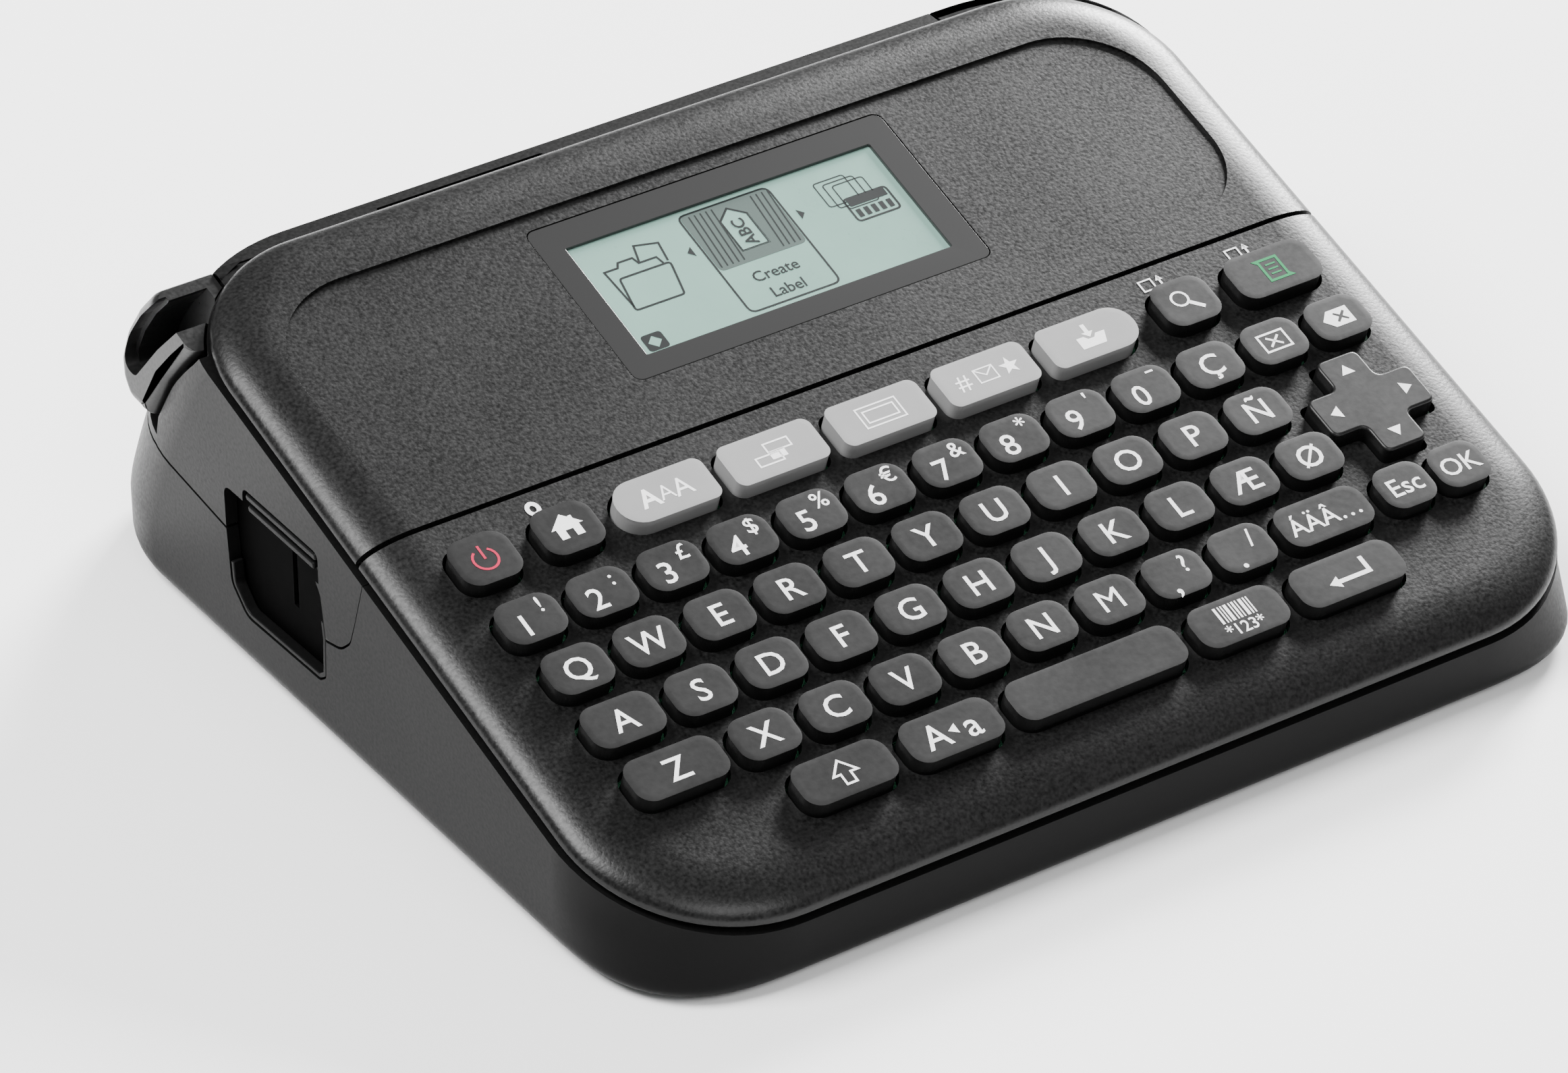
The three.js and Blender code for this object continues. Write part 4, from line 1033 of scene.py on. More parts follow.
@dataclass
class Keyboard:
    """All keys, their legends and the cover around them."""

    form: CaseForm
    pitch: float = 13.05
    row: float = 11.61
    cap_w: float = 10.5
    cap_h: float = 8.3
    top: float = 7.44
    foot: float = 1.3
    function_v: float = -15.4
    digit_v: float = -28.9
    digit_u: float = -77.45
    keys: list[Key] = field(default_factory=list)

    def line(self, node: str, text: Sequence[Any], first: float, v: float,
             extra: float = 0.0) -> None:
        """Adds a row of character keys.

        Args:
            node: The row's CAD node and body.
            text: The legends, one entry a key.
            first: The first key's middle.
            v: The row's place up the panel.
            extra: How much further left the first key reaches.
        """
        for i, marks in enumerate(text):
            more = extra if i == 0 else 0.0
            spot = [(marks, 0.0, 0.0, 4.3)] if isinstance(marks, str) else list(marks)
            self.keys.append(Key(
                f"{node}_{i + 1}", node, node, first + i * self.pitch - more / 2, v,
                self.cap_w + more, self.cap_h, spot))

    def chain(self, left: float, v: float, h: float, entries: Sequence[Any]) -> None:
        """Adds single keys side by side from a left edge: name, width, gap before it, marks."""
        edge = left
        for name, w, gap, marks in entries:
            self.keys.append(Key(name, name, name, edge + gap + w / 2, v, w, h, marks))
            edge += gap + w

    def lay_out(self) -> None:
        """Fills the list of keys."""
        p, row, w, h = self.pitch, self.row, self.cap_w, self.cap_h
        wide = w + p / 2
        letter_v = self.digit_v - row
        letter_u = self.digit_u + 1.4
        lower_u = letter_u + 6.52
        shifted = "!:£$%€&*'¯"
        digits: list[Any] = [
            ((d, -1.5, -0.9, 4.2), (s, 2.6, 2.0, 3.0)) for d, s in zip("1234567890", shifted)]
        self.line("keys_digits", [*digits, "Ç"], self.digit_u, self.digit_v)
        self.line("keys_upper", [*"QWERTYUIOPÑ"], letter_u, letter_v)
        self.line("keys_home", [*"ASDFGHJKLÆØ"], letter_u + 2.17, letter_v - row, 2.3)
        comma = ((",", -1.6, -1.4, 4.6), ("?", 2.2, 1.4, 3.4))
        stop = ((".", -1.6, -1.4, 4.6), ("/", 2.2, 1.4, 3.4))
        self.line("keys_lower", [*"ZXCVBNM", comma, stop], lower_u, letter_v - 2 * row, 6.1)
        round_w, function_h = w - 0.1, h + 0.9
        grey_pitch = 1.58 * p
        grey_w = grey_pitch - 3.05
        grey_u = 0.85 - 4.05 - 2 * grey_pitch
        left = grey_u - grey_w / 2
        self.chain(left - 2 * round_w - 8.8, self.function_v, function_h, [
            ("key_power", round_w, 0, []), ("key_home", round_w, 4.8, [])])
        names = ("key_text", "key_style", "key_frame", "key_symbol", "key_file")
        for i, name in enumerate(names):
            left_r, right_r = (4.2 if i == 0 else 1.7), (4.2 if i == 4 else 1.7)
            corners = [left_r, right_r, right_r, left_r]
            self.keys.append(Key(name, name, name, grey_u + i * grey_pitch, self.function_v,
                                 grey_w, h + 0.3, [], corners, True))
        self.chain(left + 4 * grey_pitch + grey_w, self.function_v, function_h, [
            ("key_search", round_w, 5.5, []), ("key_print", wide - 0.6, 4.5, [])])
        self.chain(self.digit_u + 11 * p - w / 2, self.digit_v, h, [
            ("key_clear", w, 0, []), ("key_delete", w, 2.55, [])])
        self.chain(lower_u + 9 * p - w / 2, letter_v - 2 * row, h, [
            ("key_accent", wide, 0, [("ÁÄÂ…", 0, -0.2, 3.3)]),
            ("key_escape", w - 1.1, 3.15, [("Esc", 0, 0, 3.5)]),
            ("key_enter_small", w - 1.1, 1.75, [("OK", 0, 0, 3.5)])])
        space, enter = w + 1.68 * p, w + 0.76 * p
        gap = 2.9
        total = 3 * wide + space + enter + 4 * gap
        self.chain(-total / 2, letter_v - 3 * row, h, [
            ("key_shift", wide, 0, []),
            ("key_caps", wide, gap, [("A", -3.1, 0, 4.6), ("a", 3.4, -0.2, 4.6)]),
            ("key_space", space, gap, []),
            ("key_barcode", wide, gap, [("*123*", 0, -2.0, 2.2)]),
            ("key_enter", enter, gap, [])])

    @property
    def cursor_centre(self) -> Point:
        """The middle of the cursor key."""
        return (self.digit_u + 11.56 * self.pitch, self.digit_v - 1.5 * self.row)

    def cursor_outline(self, grow: float) -> list[Point]:
        """The cross of the cursor key."""
        u, v = self.cursor_centre
        reach, arm = 0.8 * self.pitch + grow, 0.4 * self.cap_w + grow
        points: list[Point] = []
        radii: list[float] = []
        for c, s in QUARTERS:
            for (x, y), r in (((reach, -arm), 1.6), ((reach, arm), 1.6), ((arm, arm), 1.4)):
                points.append((u + c * x - s * y, v + s * x + c * y))
                radii.append(r)
        return rounded(points, radii, 5)

    def cap(self, key: Key) -> bpy.types.Object:
        """The moulded cap of a key."""
        piece = Bench.plate(key.name + "_cap", (key.u, key.v), (key.w, key.h), key.corners,
                            self.foot, 7)
        Bench.raise_to(piece, self.top - self.foot - 0.02, self.top - self.foot)
        top = self.top
        Bench.grow(piece, lambda p: p.z > top - 0.001, (0.945, 0.935, 1), (key.u, key.v, top))
        Bench.round_edges(piece, lambda p: p.z > top - 0.001, 0.55, 4)
        return Bench.smooth(piece, 50)

    def cursor(self) -> bpy.types.Object:
        """The cross-shaped cursor key."""
        piece = Bench.outline("key_cursor_cap", self.cursor_outline(0), self.foot)
        Bench.raise_to(piece, self.top - self.foot)
        top = self.top
        Bench.round_edges(piece, lambda p: p.z > top - 0.001, 0.5, 4)
        return Bench.smooth(piece, 50)

    def openings(self, grow: float) -> bpy.types.Object:
        """Blocks that cut every key's opening."""
        blocks = []
        for key in self.keys:
            corners = key.corners
            radii = [corners] * 4 if isinstance(corners, (int, float)) else corners
            blocks.append(Bench.slab("hole", (key.u, key.v), (
                key.w + 2 * grow, key.h + 2 * grow), [r + grow for r in radii], -1, 12))
        cross = Bench.outline("hole", self.cursor_outline(grow), -1)
        blocks.append(Bench.raise_to(cross, 12))
        return Bench.merge("openings", blocks)

    def make(self) -> None:
        """Builds every key with its legends."""
        self.lay_out()
        scribe = Scribe(self.form)
        for key in self.keys:
            cap = Bench.lay(self.cap(key), self.form.panel)
            finish = Finish.GREY_KEY if key.grey else Finish.KEY
            dress(cap, finish, key.body, [key.node])
            marks = [scribe.text(m, key.u + du, key.v + dv, self.top, size)
                     for m, du, dv, size in key.marks]
            if marks:
                legend = Bench.merge(key.name + "_legend", marks)
                dress(legend, Finish.WHITE_INK, key.body)
        cross = Bench.lay(self.cursor(), self.form.panel)
        dress(cross, Finish.KEY, "key_cursor", ["key_cursor"])
        Icons(self.form, self, scribe).make()


# ---------------------------------------------------------------- legends and icons


@dataclass
class Scribe:
    """Makes thin printed shapes on the panel."""

    form: CaseForm
    thick: float = 0.05

    def finish_flat(self, piece: bpy.types.Object) -> bpy.types.Object:
        """Turns a flat curve or text into a mesh laid on the panel."""
        Bench.take(piece)
        bpy.ops.object.convert(target="MESH")
        piece = bpy.context.object
        bpy.ops.object.transform_apply(location=True, rotation=True, scale=True)
        return Bench.lay(piece, self.form.panel)

    def text(self, words: str, u: float, v: float, w: float, size: float,
             bold: float = 0.012) -> bpy.types.Object:
        """Text centred at a place.

        Args:
            words: The text.
            u: Its middle across.
            v: Its middle up.
            w: The surface that it is on.
            size: Height of its capitals, in millimetres.
            bold: How much its strokes are thickened.

        Returns:
            The piece.
        """
        Bench.clear()
        bpy.ops.object.text_add(location=(0, 0, 0))
        piece = bpy.context.object
        piece.data.body = words
        piece.data.size = size / 0.70 * MM
        piece.data.align_x = "CENTER"
        piece.data.align_y = "BOTTOM_BASELINE"
        piece.data.offset = 0 if words == "M" else bold * size * MM
        piece.data.extrude = self.thick / 2 * MM
        piece.data.resolution_u = 3
        piece.location = Vector((u, v - size / 2, w)) * MM
        return self.finish_flat(piece)

    def shape(self, loops: Sequence[Sequence[Point]], w: float) -> bpy.types.Object:
        """A filled shape of closed loops; a loop within another is a hole."""
        curve = bpy.data.curves.new("shape", "CURVE")
        curve.dimensions = "2D"
        curve.fill_mode = "BOTH"
        curve.extrude = self.thick / 2 * MM
        for loop in loops:
            spline = curve.splines.new("POLY")
            spline.points.add(len(loop) - 1)
            for point, (u, v) in zip(spline.points, loop):
                point.co = (u * MM, v * MM, 0, 1)
            spline.use_cyclic_u = True
        piece = bpy.data.objects.new("shape", curve)
        bpy.context.collection.objects.link(piece)
        piece.location = (0, 0, w * MM)
        return self.finish_flat(piece)

    def stroke(self, points: Sequence[Point], width: float, w: float,
               closed: bool = False) -> bpy.types.Object:
        """A line of even width with mitred corners."""
        left, right = (offset_line(points, by, closed) for by in (width / 2, -width / 2))
        if closed:
            return self.shape([left, right], w)
        return self.shape([left + right[::-1]], w)


def offset_line(points: Sequence[Point], by: float, closed: bool) -> list[Point]:
    """A line beside another, at an even distance.

    Args:
        points: The line.
        by: The distance, to its left where positive.
        closed: True for a loop.

    Returns:
        The new line.
    """
    vectors = [Vector(p) for p in points]
    count = len(vectors)
    out: list[Point] = []
    for i, here in enumerate(vectors):
        before = vectors[i - 1] if i or closed else None
        after = vectors[(i + 1) % count] if i + 1 < count or closed else None
        ways = [(b - a).normalized() for a, b in ((before, here), (here, after))
                if a is not None and b is not None]
        sides = [Vector((-d.y, d.x)) for d in ways]
        mean = sum(sides, Vector((0, 0))).normalized()
        stretch = 1 / max(0.35, mean.dot(sides[0]))
        out.append(tuple(here + mean * by * stretch))
    return out


def arc(u: float, v: float, radius: float, start: float, end: float, steps: int = 16,
        squeeze: float = 1.0) -> list[Point]:
    """Points on an arc, angles in degrees."""
    angles = [math.radians(start + (end - start) * i / steps) for i in range(steps + 1)]
    return [(u + radius * math.cos(a), v + radius * squeeze * math.sin(a)) for a in angles]


def rect(u0: float, v0: float, u1: float, v1: float) -> list[Point]:
    """The corners of a rectangle."""
    return [(u0, v0), (u1, v0), (u1, v1), (u0, v1)]


@dataclass
class Icons:
    """The pictures on the function keys and beside them."""

    form: CaseForm
    board: Keyboard
    scribe: Scribe

    def key(self, name: str) -> Key:
        """The key of a name."""
        return next(k for k in self.board.keys if k.name == name)

    def put(self, name: str, parts: list[bpy.types.Object], ink: Finish = Finish.WHITE_INK) -> None:
        """Joins a picture's parts and dresses them for their key."""
        key = self.key(name) if name != "key_cursor" else None
        dress(Bench.merge(name + "_icon", parts), ink, name)

    def make(self) -> None:
        """Makes every picture."""
        s, top = self.scribe, self.board.top

        def at(name: str) -> Callable[..., list[Point]]:
            """Moves points given about a key's middle to their places on the panel."""
            key = self.key(name)
            return lambda *ps: [(key.u + a, key.v + b) for a, b in ps]

        k = self.key("key_power")
        self.put("key_power", [
            s.stroke(arc(k.u, k.v - 0.2, 2.1, 125, 415), 0.42, top),
            s.stroke([(k.u, k.v - 0.2), (k.u, k.v + 2.6)], 0.42, top)], Finish.PINK_INK_GLOW)
        on = at("key_home")
        house = on((-2.1, -2.0), (-0.7, -2.0), (-0.7, -0.4), (0.7, -0.4), (0.7, -2.0), (2.1, -2.0),
                   (2.1, 0.2), (2.9, 0.2), (1.7, 1.35), (1.7, 2.1), (1.1, 2.1), (1.1, 1.9),
                   (0, 2.9), (-2.9, 0.2), (-2.1, 0.2))
        self.put("key_home", [s.shape([house], top)])
        k = self.key("key_text")
        letters = [s.text("A", k.u + du, k.v, top, size, bold)
                   for du, size, bold in ((-3.0, 3.6, 0.03), (0.2, 3.0, -0.01), (3.2, 3.6, 0.0))]
        self.put("key_text", letters)
        on = at("key_style")
        self.put("key_style", [
            s.stroke(on(*rect(-0.9, 0.2, 3.6, 2.0)), 0.3, top, True),
            s.stroke(on(*rect(-3.6, -2.0, 0.9, -0.2)), 0.3, top, True),
            s.shape([on(*rect(-0.9, -1.4, 2.0, 0.3))], top)])
        on = at("key_frame")
        self.put("key_frame", [
            s.stroke(on(*rect(-3.8, -2.1, 3.8, 2.1)), 0.28, top, True),
            s.stroke(on(*rect(-2.9, -1.2, 2.9, 1.2)), 0.28, top, True)])
        on, k = at("key_symbol"), self.key("key_symbol")
        star = [(k.u + 4.6 + r * math.sin(a), k.v + r * math.cos(a)) for a, r in (
            (i * math.pi / 5, 1.9 if i % 2 == 0 else 0.8) for i in range(10))]
        self.put("key_symbol", [
            s.text("#", k.u - 4.6, k.v, top, 3.2, 0.0), s.shape([star], top),
            s.stroke(on(*rect(-1.8, -1.4, 1.8, 1.4)), 0.25, top, True),
            s.stroke(on((-1.7, 1.3), (0, -0.2), (1.7, 1.3)), 0.25, top)])
        on = at("key_file")
        self.put("key_file", [
            s.shape([on((-2.6, -2.2), (2.0, -2.2), (3.0, 0.2), (1.2, 0.2), (0.6, -0.5),
                        (-0.6, -0.5), (-1.2, 0.2), (-2.6, 0.2))], top),
            s.shape([on((-0.4, 2.6), (-0.4, 0.9), (-1.1, 0.9), (0, -0.2), (1.1, 0.9), (0.4, 0.9),
                        (0.4, 2.6))], top)])
        k = self.key("key_search")
        self.put("key_search", [
            s.stroke(arc(k.u - 0.8, k.v + 0.7, 1.5, 0, 337.5, 15), 0.42, top, True),
            s.stroke([(k.u + 0.3, k.v - 0.4), (k.u + 2.4, k.v - 2.3)], 0.75, top)])
        on = at("key_print")
        self.put("key_print", [
            s.stroke(on((-1.8, -2.2), (2.4, -2.2), (1.9, -1.7), (1.9, 2.3), (-2.3, 2.3),
                        (-1.8, 1.8)), 0.5, top, True),
            *[s.stroke(on((-0.9, y), (1.1, y)), 0.32, top) for y in (-0.9, 0.1, 1.1)]],
            Finish.GREEN_INK_GLOW)
        on = at("key_clear")
        self.put("key_clear", [
            s.stroke(on(*rect(-2.5, -1.8, 2.5, 1.8)), 0.4, top, True),
            s.stroke(on((-1.2, -1.0), (1.2, 1.0)), 0.4, top),
            s.stroke(on((-1.2, 1.0), (1.2, -1.0)), 0.4, top)])
        on = at("key_delete")
        cross = [(0.1, 0.35), (1.0, 1.1), (1.3, 0.8), (0.5, 0), (1.3, -0.8), (1.0, -1.1),
                 (0.1, -0.35), (-0.8, -1.1), (-1.1, -0.8), (-0.3, 0), (-1.1, 0.8), (-0.8, 1.1)]
        self.put("key_delete", [s.shape([
            on((-3.0, 0), (-1.4, -1.8), (2.6, -1.8), (2.6, 1.8), (-1.4, 1.8)),
            on(*[(a + 0.5, b) for a, b in cross])], top)])
        on = at("key_shift")
        self.put("key_shift", [s.stroke(
            on((-0.9, -2.2), (0.9, -2.2), (0.9, -0.2), (2.2, -0.2), (0, 2.4), (-2.2, -0.2),
               (-0.9, -0.2)), 0.4, top, True)])
        on = at("key_caps")
        self.put("key_caps", [s.shape([on((-0.7, 0), (0.9, -1.0), (0.9, 1.0))], top)])
        on = at("key_barcode")
        widths = (0.5, 0.25, 0.25, 0.6, 0.25, 0.4, 0.25, 0.6, 0.3, 0.25)
        bars = []
        edge = -3.3
        for i, width in enumerate(widths):
            bars.append(s.shape([on(*rect(edge, -0.4, edge + width, 3.0))], top))
            edge += width + (0.3 if i % 3 else 0.42)
        self.put("key_barcode", bars)
        on = at("key_enter")
        self.put("key_enter", [s.shape([on(
            (-4.2, -0.9), (-2.2, -2.1), (-2.2, -1.3), (4.2, -1.3), (4.2, 2.2), (3.4, 2.2),
            (3.4, -0.5), (-2.2, -0.5), (-2.2, 0.3))], top)])
        u, v = self.board.cursor_centre
        tri = [(8.3, 0), (6.3, 1.3), (6.3, -1.3)]
        tips = []
        for c, sn in QUARTERS:
            tips.append(s.shape([[(u + c * a - sn * b, v + sn * a + c * b) for a, b in tri]], top))
        self.put("key_cursor", tips)
        self.cover_marks()

    def cover_marks(self) -> None:
        """Small marks printed on the cover above three keys."""
        s, w = self.scribe, 5.0
        home, search, printing = (self.key("key_" + n) for n in ("home", "search", "print"))
        marks = [
            s.shape([arc(home.u - 1.6, home.v + 7.2, 1.3, 0, 345, 23, 1.15),
                     arc(home.u - 1.6, home.v + 7.2, 0.55, 0, 345, 11, 1.3)], w)]
        for key, du in ((search, -2.0), (printing, -2.2)):
            u, v = key.u + du, key.v + 7.1
            marks.append(s.stroke(rect(u - 1.5, v - 1.1, u + 0.9, v + 1.1), 0.3, w, True))
            marks.append(s.stroke([(u + 2.3, v - 1.1), (u + 2.3, v + 1.1)], 0.4, w))
            marks.append(s.shape([[(u + 1.6, v + 0.3), (u + 3.0, v + 0.3), (u + 2.3, v + 1.4)]], w))
        dress(Bench.merge("cover_marks", marks), Finish.WHITE_INK, "case")


# ---------------------------------------------------------------- top covers and screen


def middle_and_size(span: Span, more: float = 0.0) -> tuple[Point, Point]:
    """The middle and the size of a span, made larger by some more."""
    u0, u1, v0, v1 = span
    return ((u0 + u1) / 2, (v0 + v1) / 2), (u1 - u0 + more, v1 - v0 + more)


@dataclass
class Covers:
    """The screen cover and the keyboard cover, with their rounded shoulders."""

    form: CaseForm
    board: Keyboard
    inset: float = 0.66
    step: float = 1.2
    high: float = 4.95
    shoulder: float = 10.0
    split_gap: float = 0.95
    window: Span = (-34.2, 35.8, 8.3, 43.8)

    def rim_slab(self, name: str, inset: float, low: float, height: float) -> bpy.types.Object:
        """A slab with the rim's plan, standing some way inside it."""
        form = self.form
        front = -form.depth / 2 / math.cos(form.tilt) + inset
        back = form.rim_back - inset
        outer, inner = form.corner - inset, form.rim_corner - inset
        return Bench.slab(name, (0, (front + back) / 2), (form.width - 2 * inset, back - front),
                          (outer, outer, inner, inner), low, height, 20)

    def pillow(self, name: str, inset: float, high: float, shoulder: float) -> bpy.types.Object:
        """A low block with the rim's plan and a rounded shoulder.

        Args:
            name: The new piece's name.
            inset: How far it stands inside the rim.
            high: Its top above the rim.
            shoulder: How far the rounding reaches inwards.

        Returns:
            The piece.
        """
        low = 1.2
        rise = high - low
        stretch = (shoulder + 0.4) / rise
        piece = self.rim_slab(name, inset, low, rise * stretch)
        top = low + rise * stretch
        Bench.round_edges(piece, lambda p: p.z > top - 0.01, shoulder, 12, 0.5)
        Bench.grow(piece, lambda p: True, (1, 1, 1 / stretch), (0, 0, low))
        return piece

    def skin(self, name: str) -> bpy.types.Object:
        """Both covers as one shell, with a stepped foot."""
        low, wall = self.inset + self.step, 1.2
        piece = self.pillow(name, self.inset, self.high, self.shoulder)
        Bench.combine(piece, self.rim_slab("foot", low, 0.45, 1.6), "UNION")
        Bench.combine(piece, self.pillow("lining", low + wall, self.high - 2.2, self.shoulder - 2))
        return Bench.combine(piece, self.rim_slab("under", low + wall, -1, 2.6))

    def screen_part(self) -> bpy.types.Object:
        """The cover around the screen."""
        piece = self.skin("screen_cover_shell")
        Bench.slice(piece, (0, self.form.split + self.split_gap / 2, 0), (0, -1, 0))
        Bench.combine(piece, Bench.slab("panel", (0.6, 23.9), (169.6, 46.0), (15, 15, 17, 17),
                                        4.42, 3, 14))
        Bench.combine(piece, Bench.slab("hole", *middle_and_size(self.window), 1.8, -1, 9, 5))
        Bench.polish(piece, 0.2, 2, 40, 40)
        Bench.lay(piece, self.form.panel)
        return dress(piece, Finish.COVER, "case", ["screen_cover"])

    def key_part(self) -> bpy.types.Object:
        """The cover around the keys."""
        piece = self.skin("keyboard_cover_shell")
        Bench.slice(piece, (0, self.form.split - self.split_gap / 2, 0), (0, 1, 0))
        Bench.combine(piece, self.board.openings(0.62))
        Bench.polish(piece, 0.3, 2, 40, 40)
        Bench.lay(piece, self.form.panel)
        return dress(piece, Finish.COVER, "case", ["keyboard_cover"])

    def make(self) -> None:
        """Builds both covers."""
        self.screen_part()
        self.key_part()


@dataclass
class Screen:
    """The window, the display and the picture on it."""

    form: CaseForm
    window: Span = (-34.2, 35.8, 8.3, 43.8)
    view: Span = (-29.4, 30.3, 12.9, 38.1)
    glass_w: float = 4.35
    lcd_w: float = 3.75

    def bezel(self) -> bpy.types.Object:
        """The black window frame."""
        piece = Bench.slab("window_bezel", *middle_and_size(self.window, -0.3), 1.7,
                           self.glass_w - 1.2, 1.2)
        Bench.combine(piece, Bench.slab("view", *middle_and_size(self.view), 0.25, 0, 9, 3))
        Bench.polish(piece, 0.12)
        Bench.lay(piece, self.form.panel)
        return dress(piece, Finish.BEZEL, "case", ["screen_window"])

    def display(self) -> bpy.types.Object:
        """The display's glass in its holder."""
        plate = Bench.slab("display_glass", *middle_and_size(self.view, 4), 0.6,
                           self.lcd_w - 3.4, 3.4, 4)
        Bench.round_edges(plate, lambda p: p.z > self.lcd_w - 0.01, 0.2, 2)
        Bench.smooth(plate)
        Bench.lay(plate, self.form.panel)
        return dress(plate, Finish.LCD, "case", ["screen_module"])

    def picture(self) -> None:
        """The menu shown on the display: a folder, a label card and a label printer."""
        s, w = Scribe(self.form, 0.03), self.lcd_w
        ink: list[bpy.types.Object] = []

        def lines(*runs: tuple[list[Point], bool], width: float = 0.38) -> None:
            for points, closed in runs:
                ink.append(s.stroke(points, width, w + 0.02, closed))

        def box(u: float, v: float, wide: float, tall: float, radius: float) -> list[Point]:
            x, y = wide / 2, tall / 2
            return rounded(rect(u - x, v - y, u + x, v + y), [radius] * 4, 4)

        lines((rounded([(-25.6, 22.2), (-16.2, 22.2), (-14.6, 29.2), (-24.4, 29.2)],
                       [0.6] * 4, 3), True),
              ([(-25.4, 23.0), (-26.0, 31.4), (-23.4, 31.4), (-22.8, 32.4), (-20.0, 32.4),
                (-19.6, 31.0), (-16.2, 31.0), (-15.8, 29.4)], False),
              ([(-19.4, 31.2), (-18.4, 34.6), (-14.2, 33.6), (-14.8, 29.6)], False))
        lines((box(0.4, 25.6, 17.6, 23.0, 1.4), True), width=0.36)
        shade = [s.shape([box(0.4, 30.4, 17.0, 13.0, 1.1),
                          [(-2.2, 26.4), (3.0, 26.4), (3.0, 33.4), (0.4, 35.6), (-2.2, 33.4)]],
                         w + 0.02)]
        for i in range(15):
            u = -7.4 + i * 1.1
            if -2.9 < u < 3.6:
                continue
            ink.append(s.stroke([(u, 24.6), (u + 0.9, 36.4)], 0.24, w + 0.045))
        lines(([(-2.2, 26.4), (3.0, 26.4), (3.0, 33.4), (0.4, 35.6), (-2.2, 33.4)], True))
        tag = s.text("ABC", 0.0, 0.0, 0.0, 2.2, 0.02)
        Bench.lay(tag, self.form.panel.inverted())
        turn = Matrix.Translation((0.4 * MM, 30.0 * MM, (w + 0.06) * MM)) @ Matrix.Rotation(
            math.pi / 2, 4, "Z")
        Bench.lay(tag, self.form.panel @ turn)
        ink.append(tag)
        ink.append(s.text("Create", 0.4, 20.6, w + 0.03, 2.2, 0.01))
        ink.append(s.text("Label", 0.4, 16.6, w + 0.03, 2.2, 0.01))
        for side, u in ((-1, -10.4), (1, 11.4)):
            tri = [(u + side * 0.6, 29.6), (u - side * 0.5, 30.7), (u - side * 0.5, 28.5)]
            ink.append(s.shape([tri], w + 0.03))
        for i in range(3):
            lines((box(19.6 + i * 1.4, 31.6 - i * 0.8, 6.0, 5.6, 0.6), True), width=0.22)
        lines((box(23.6, 26.8, 8.4, 5.2, 0.8), True))
        ink.append(s.shape([box(23.6, 28.4, 7.4, 1.7, 0.2)], w + 0.03))
        for i in range(5):
            ink.append(s.shape([box(20.6 + i * 1.5, 25.8, 0.9, 1.8, 0.1)], w + 0.03))
        badge = [box(-26.3, 15.2, 3.9, 3.6, 0.7)]
        badge.append([(-26.3, 16.5), (-25.0, 15.2), (-26.3, 13.9), (-27.6, 15.2)])
        ink.append(s.shape(badge, w + 0.02))
        dress(Bench.merge("display_picture", ink), Finish.LCD_INK, "case")
        dress(Bench.merge("display_shade", shade), Finish.LCD_SHADE, "case")

    def make(self) -> None:
        """Builds the window, the display and its picture."""
        self.bezel()
        self.display()
        self.picture()


# ---------------------------------------------------------------- small parts


@dataclass
class SmallParts:
    """Feet and screws on the underside."""

    form: CaseForm
    foot_x: float = 78.0
    foot_y: Point = (-62.0, 56.0)
    screw_x: float = 70.0
    screw_y: Point = (-72.0, 66.0)

    def foot(self, name: str, x: float, y: float) -> bpy.types.Object:
        """A round rubber foot with a dished tread."""
        piece = Bench.rod(name, 6.0, 2.5, (x, y, 1.25), "Z", 48)
        Bench.round_edges(piece, lambda p: p.z < 0.01, 0.6, 3)
        tread = Bench.rod("tread", 3.6, 0.5, (x, y, 0.05), "Z", 40)
        Bench.combine(piece, tread)
        return Bench.smooth(piece)

    def screw(self, name: str, x: float, y: float) -> bpy.types.Object:
        """A countersunk screw with a cross recess."""
        piece = Bench.rod(name, 2.7, 1.8, (x, y, 3.2), "Z", 40)
        Bench.round_edges(piece, lambda p: p.z < 2.31, 0.5, 3)
        shank = Bench.rod("shank", 1.25, 7.4, (x, y, 7.6), "Z", 24)
        Bench.combine(piece, shank, "UNION")
        for size in ((2.6, 0.5), (0.5, 2.6)):
            slot = Bench.block("slot", (x - size[0] / 2, y - size[1] / 2, 2.0),
                               (x + size[0] / 2, y + size[1] / 2, 3.1))
            Bench.combine(piece, slot)
        return Bench.smooth(piece, 40)

    def make(self) -> None:
        """Builds four feet and four screws."""
        for side, x in (("left", -1), ("right", 1)):
            for end, i in (("front", 0), ("back", 1)):
                spot = f"{end}_{side}"
                foot = self.foot(f"foot_{spot}", x * self.foot_x, self.foot_y[i])
                dress(foot, Finish.RUBBER, "case", [f"rubber_foot_{spot}"])
                screw = self.screw(f"screw_{spot}", x * self.screw_x, self.screw_y[i])
                dress(screw, Finish.SCREW, "case", [f"case_screw_{spot}"])


CARRIED = {
    Finish.DARK: ("mechanism_chassis", "power_jack"),
    Finish.STEEL: ("cutter_blade", "fixed_blade", "cutter_spring", "holder_pin", "usb_socket",
                   "roller_holder", "drive_motor"),
    Finish.ACETAL: ("platen_gear", "idler_gear", "motor_pinion"),
    Finish.RUBBER: ("platen_roller",),
    Finish.CERAMIC: ("print_head",),
    Finish.CASSETTE: ("tape_cassette",),
    Finish.TAPE: ("label_tape",),
    Finish.CELL: ("battery_pack",),
    Finish.BOARD: ("keypad_board", "main_board"),
}


def paint_carried(nodes: dict[str, bpy.types.Object]) -> None:
    """Gives the CAD nodes that stay in view their finishes."""
    for finish, names in CARRIED.items():
        for name in names:
            mesh = nodes[name].data
            mesh.materials.clear()
            mesh.materials.append(finish.material())


# ---------------------------------------------------------------- stage


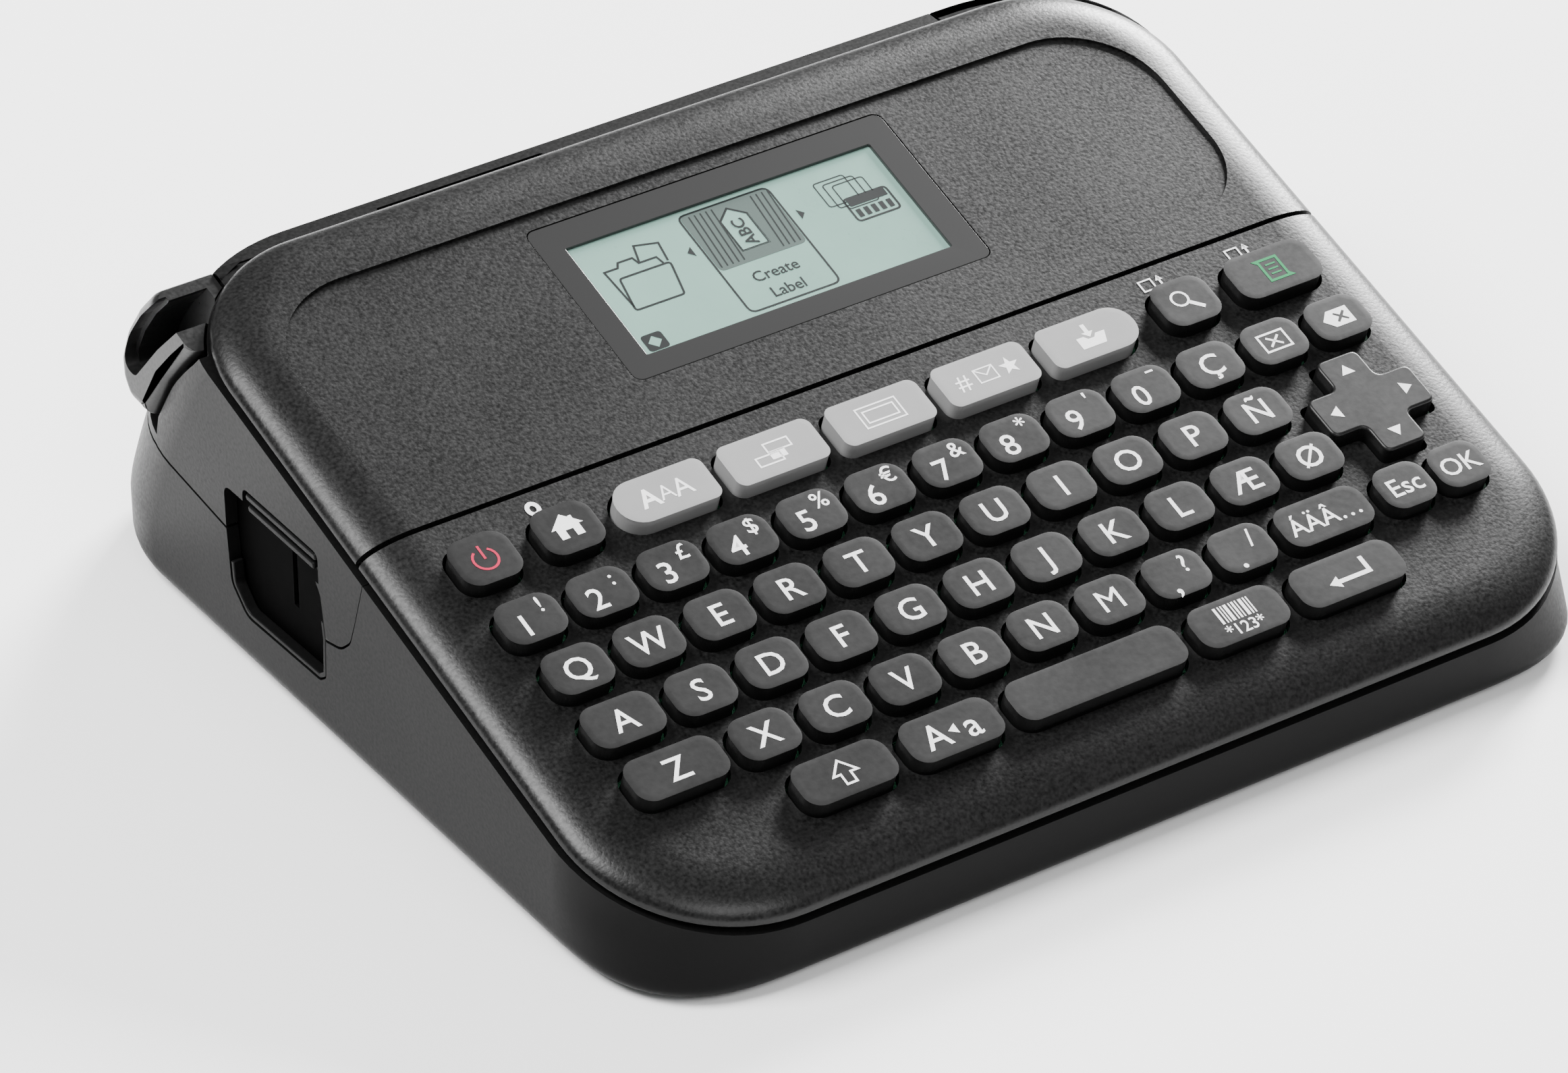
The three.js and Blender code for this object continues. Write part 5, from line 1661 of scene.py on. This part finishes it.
@dataclass
class Studio:
    """Floor, lights and camera."""

    eye: Place = (-548.0, -794.8, 648.9)
    aim: Place = (-26.0, -23.1, 30.0)
    lens: float = 162.2
    sensor: float = 36.0

    def floor(self) -> None:
        """A plain pale floor."""
        Bench.clear()
        bpy.ops.mesh.primitive_plane_add(size=8, location=(0, 0, 0))
        piece = bpy.context.object
        piece.name = "floor"
        tree = Tree("floor_white")
        cloud = tree.noise(tree.place(), 3.0, 2.0)
        piece.data.materials.append(tree.surface(
            Base_Color=tree.blend(cloud, grey(0.93), grey(0.95)), Roughness=0.9))

    def lamp(self, name: str, place: Place, size: Point, power: float) -> None:
        """A soft rectangular light that faces the object."""
        light = bpy.data.lights.new(name, "AREA")
        light.shape = "RECTANGLE"
        light.size, light.size_y = size
        light.energy = power
        lamp = bpy.data.objects.new(name, light)
        bpy.context.collection.objects.link(lamp)
        lamp.location = place
        way = Vector((0.0, 0.0, 0.03)) - Vector(place)
        lamp.rotation_euler = way.to_track_quat("-Z", "Y").to_euler()

    def camera(self) -> None:
        """The camera."""
        data = bpy.data.cameras.new("camera")
        data.lens = self.lens
        data.sensor_width = self.sensor
        data.sensor_fit = "HORIZONTAL"
        data.clip_end = 20
        camera = bpy.data.objects.new("camera", data)
        bpy.context.collection.objects.link(camera)
        camera.location = Vector(self.eye) * MM
        way = (Vector(self.aim) - Vector(self.eye)) * MM
        camera.rotation_euler = way.to_track_quat("-Z", "Y").to_euler()
        bpy.context.scene.camera = camera

    def make(self) -> None:
        """Sets the stage."""
        self.floor()
        world = bpy.data.worlds.new("studio")
        world.use_nodes = True
        back = world.node_tree.nodes["Background"]
        back.inputs["Color"].default_value = grey(1.0)
        back.inputs["Strength"].default_value = 0.4
        bpy.context.scene.world = world
        self.lamp("right_back", (1.35, 0.85, 0.74), (0.55, 0.55), 130.0)
        self.lamp("left_top", (-0.85, 0.25, 1.35), (0.8, 0.8), 58.0)
        self.lamp("front_top", (-0.1, -1.2, 1.2), (1.0, 0.6), 16.0)
        self.camera()


def main() -> None:
    """Builds the label maker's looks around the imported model."""
    logging.basicConfig(level=logging.INFO, format="%(name)s: %(message)s")
    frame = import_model()
    Bench.clear()
    form = CaseForm()
    board = Keyboard(form)
    Studio().make()
    Shells(form).make()
    board.make()
    Covers(form, board).make()
    Screen(form).make()
    SmallParts(form).make()
    paint_carried(frame["nodes"])


if __name__ == "__main__":
    main()
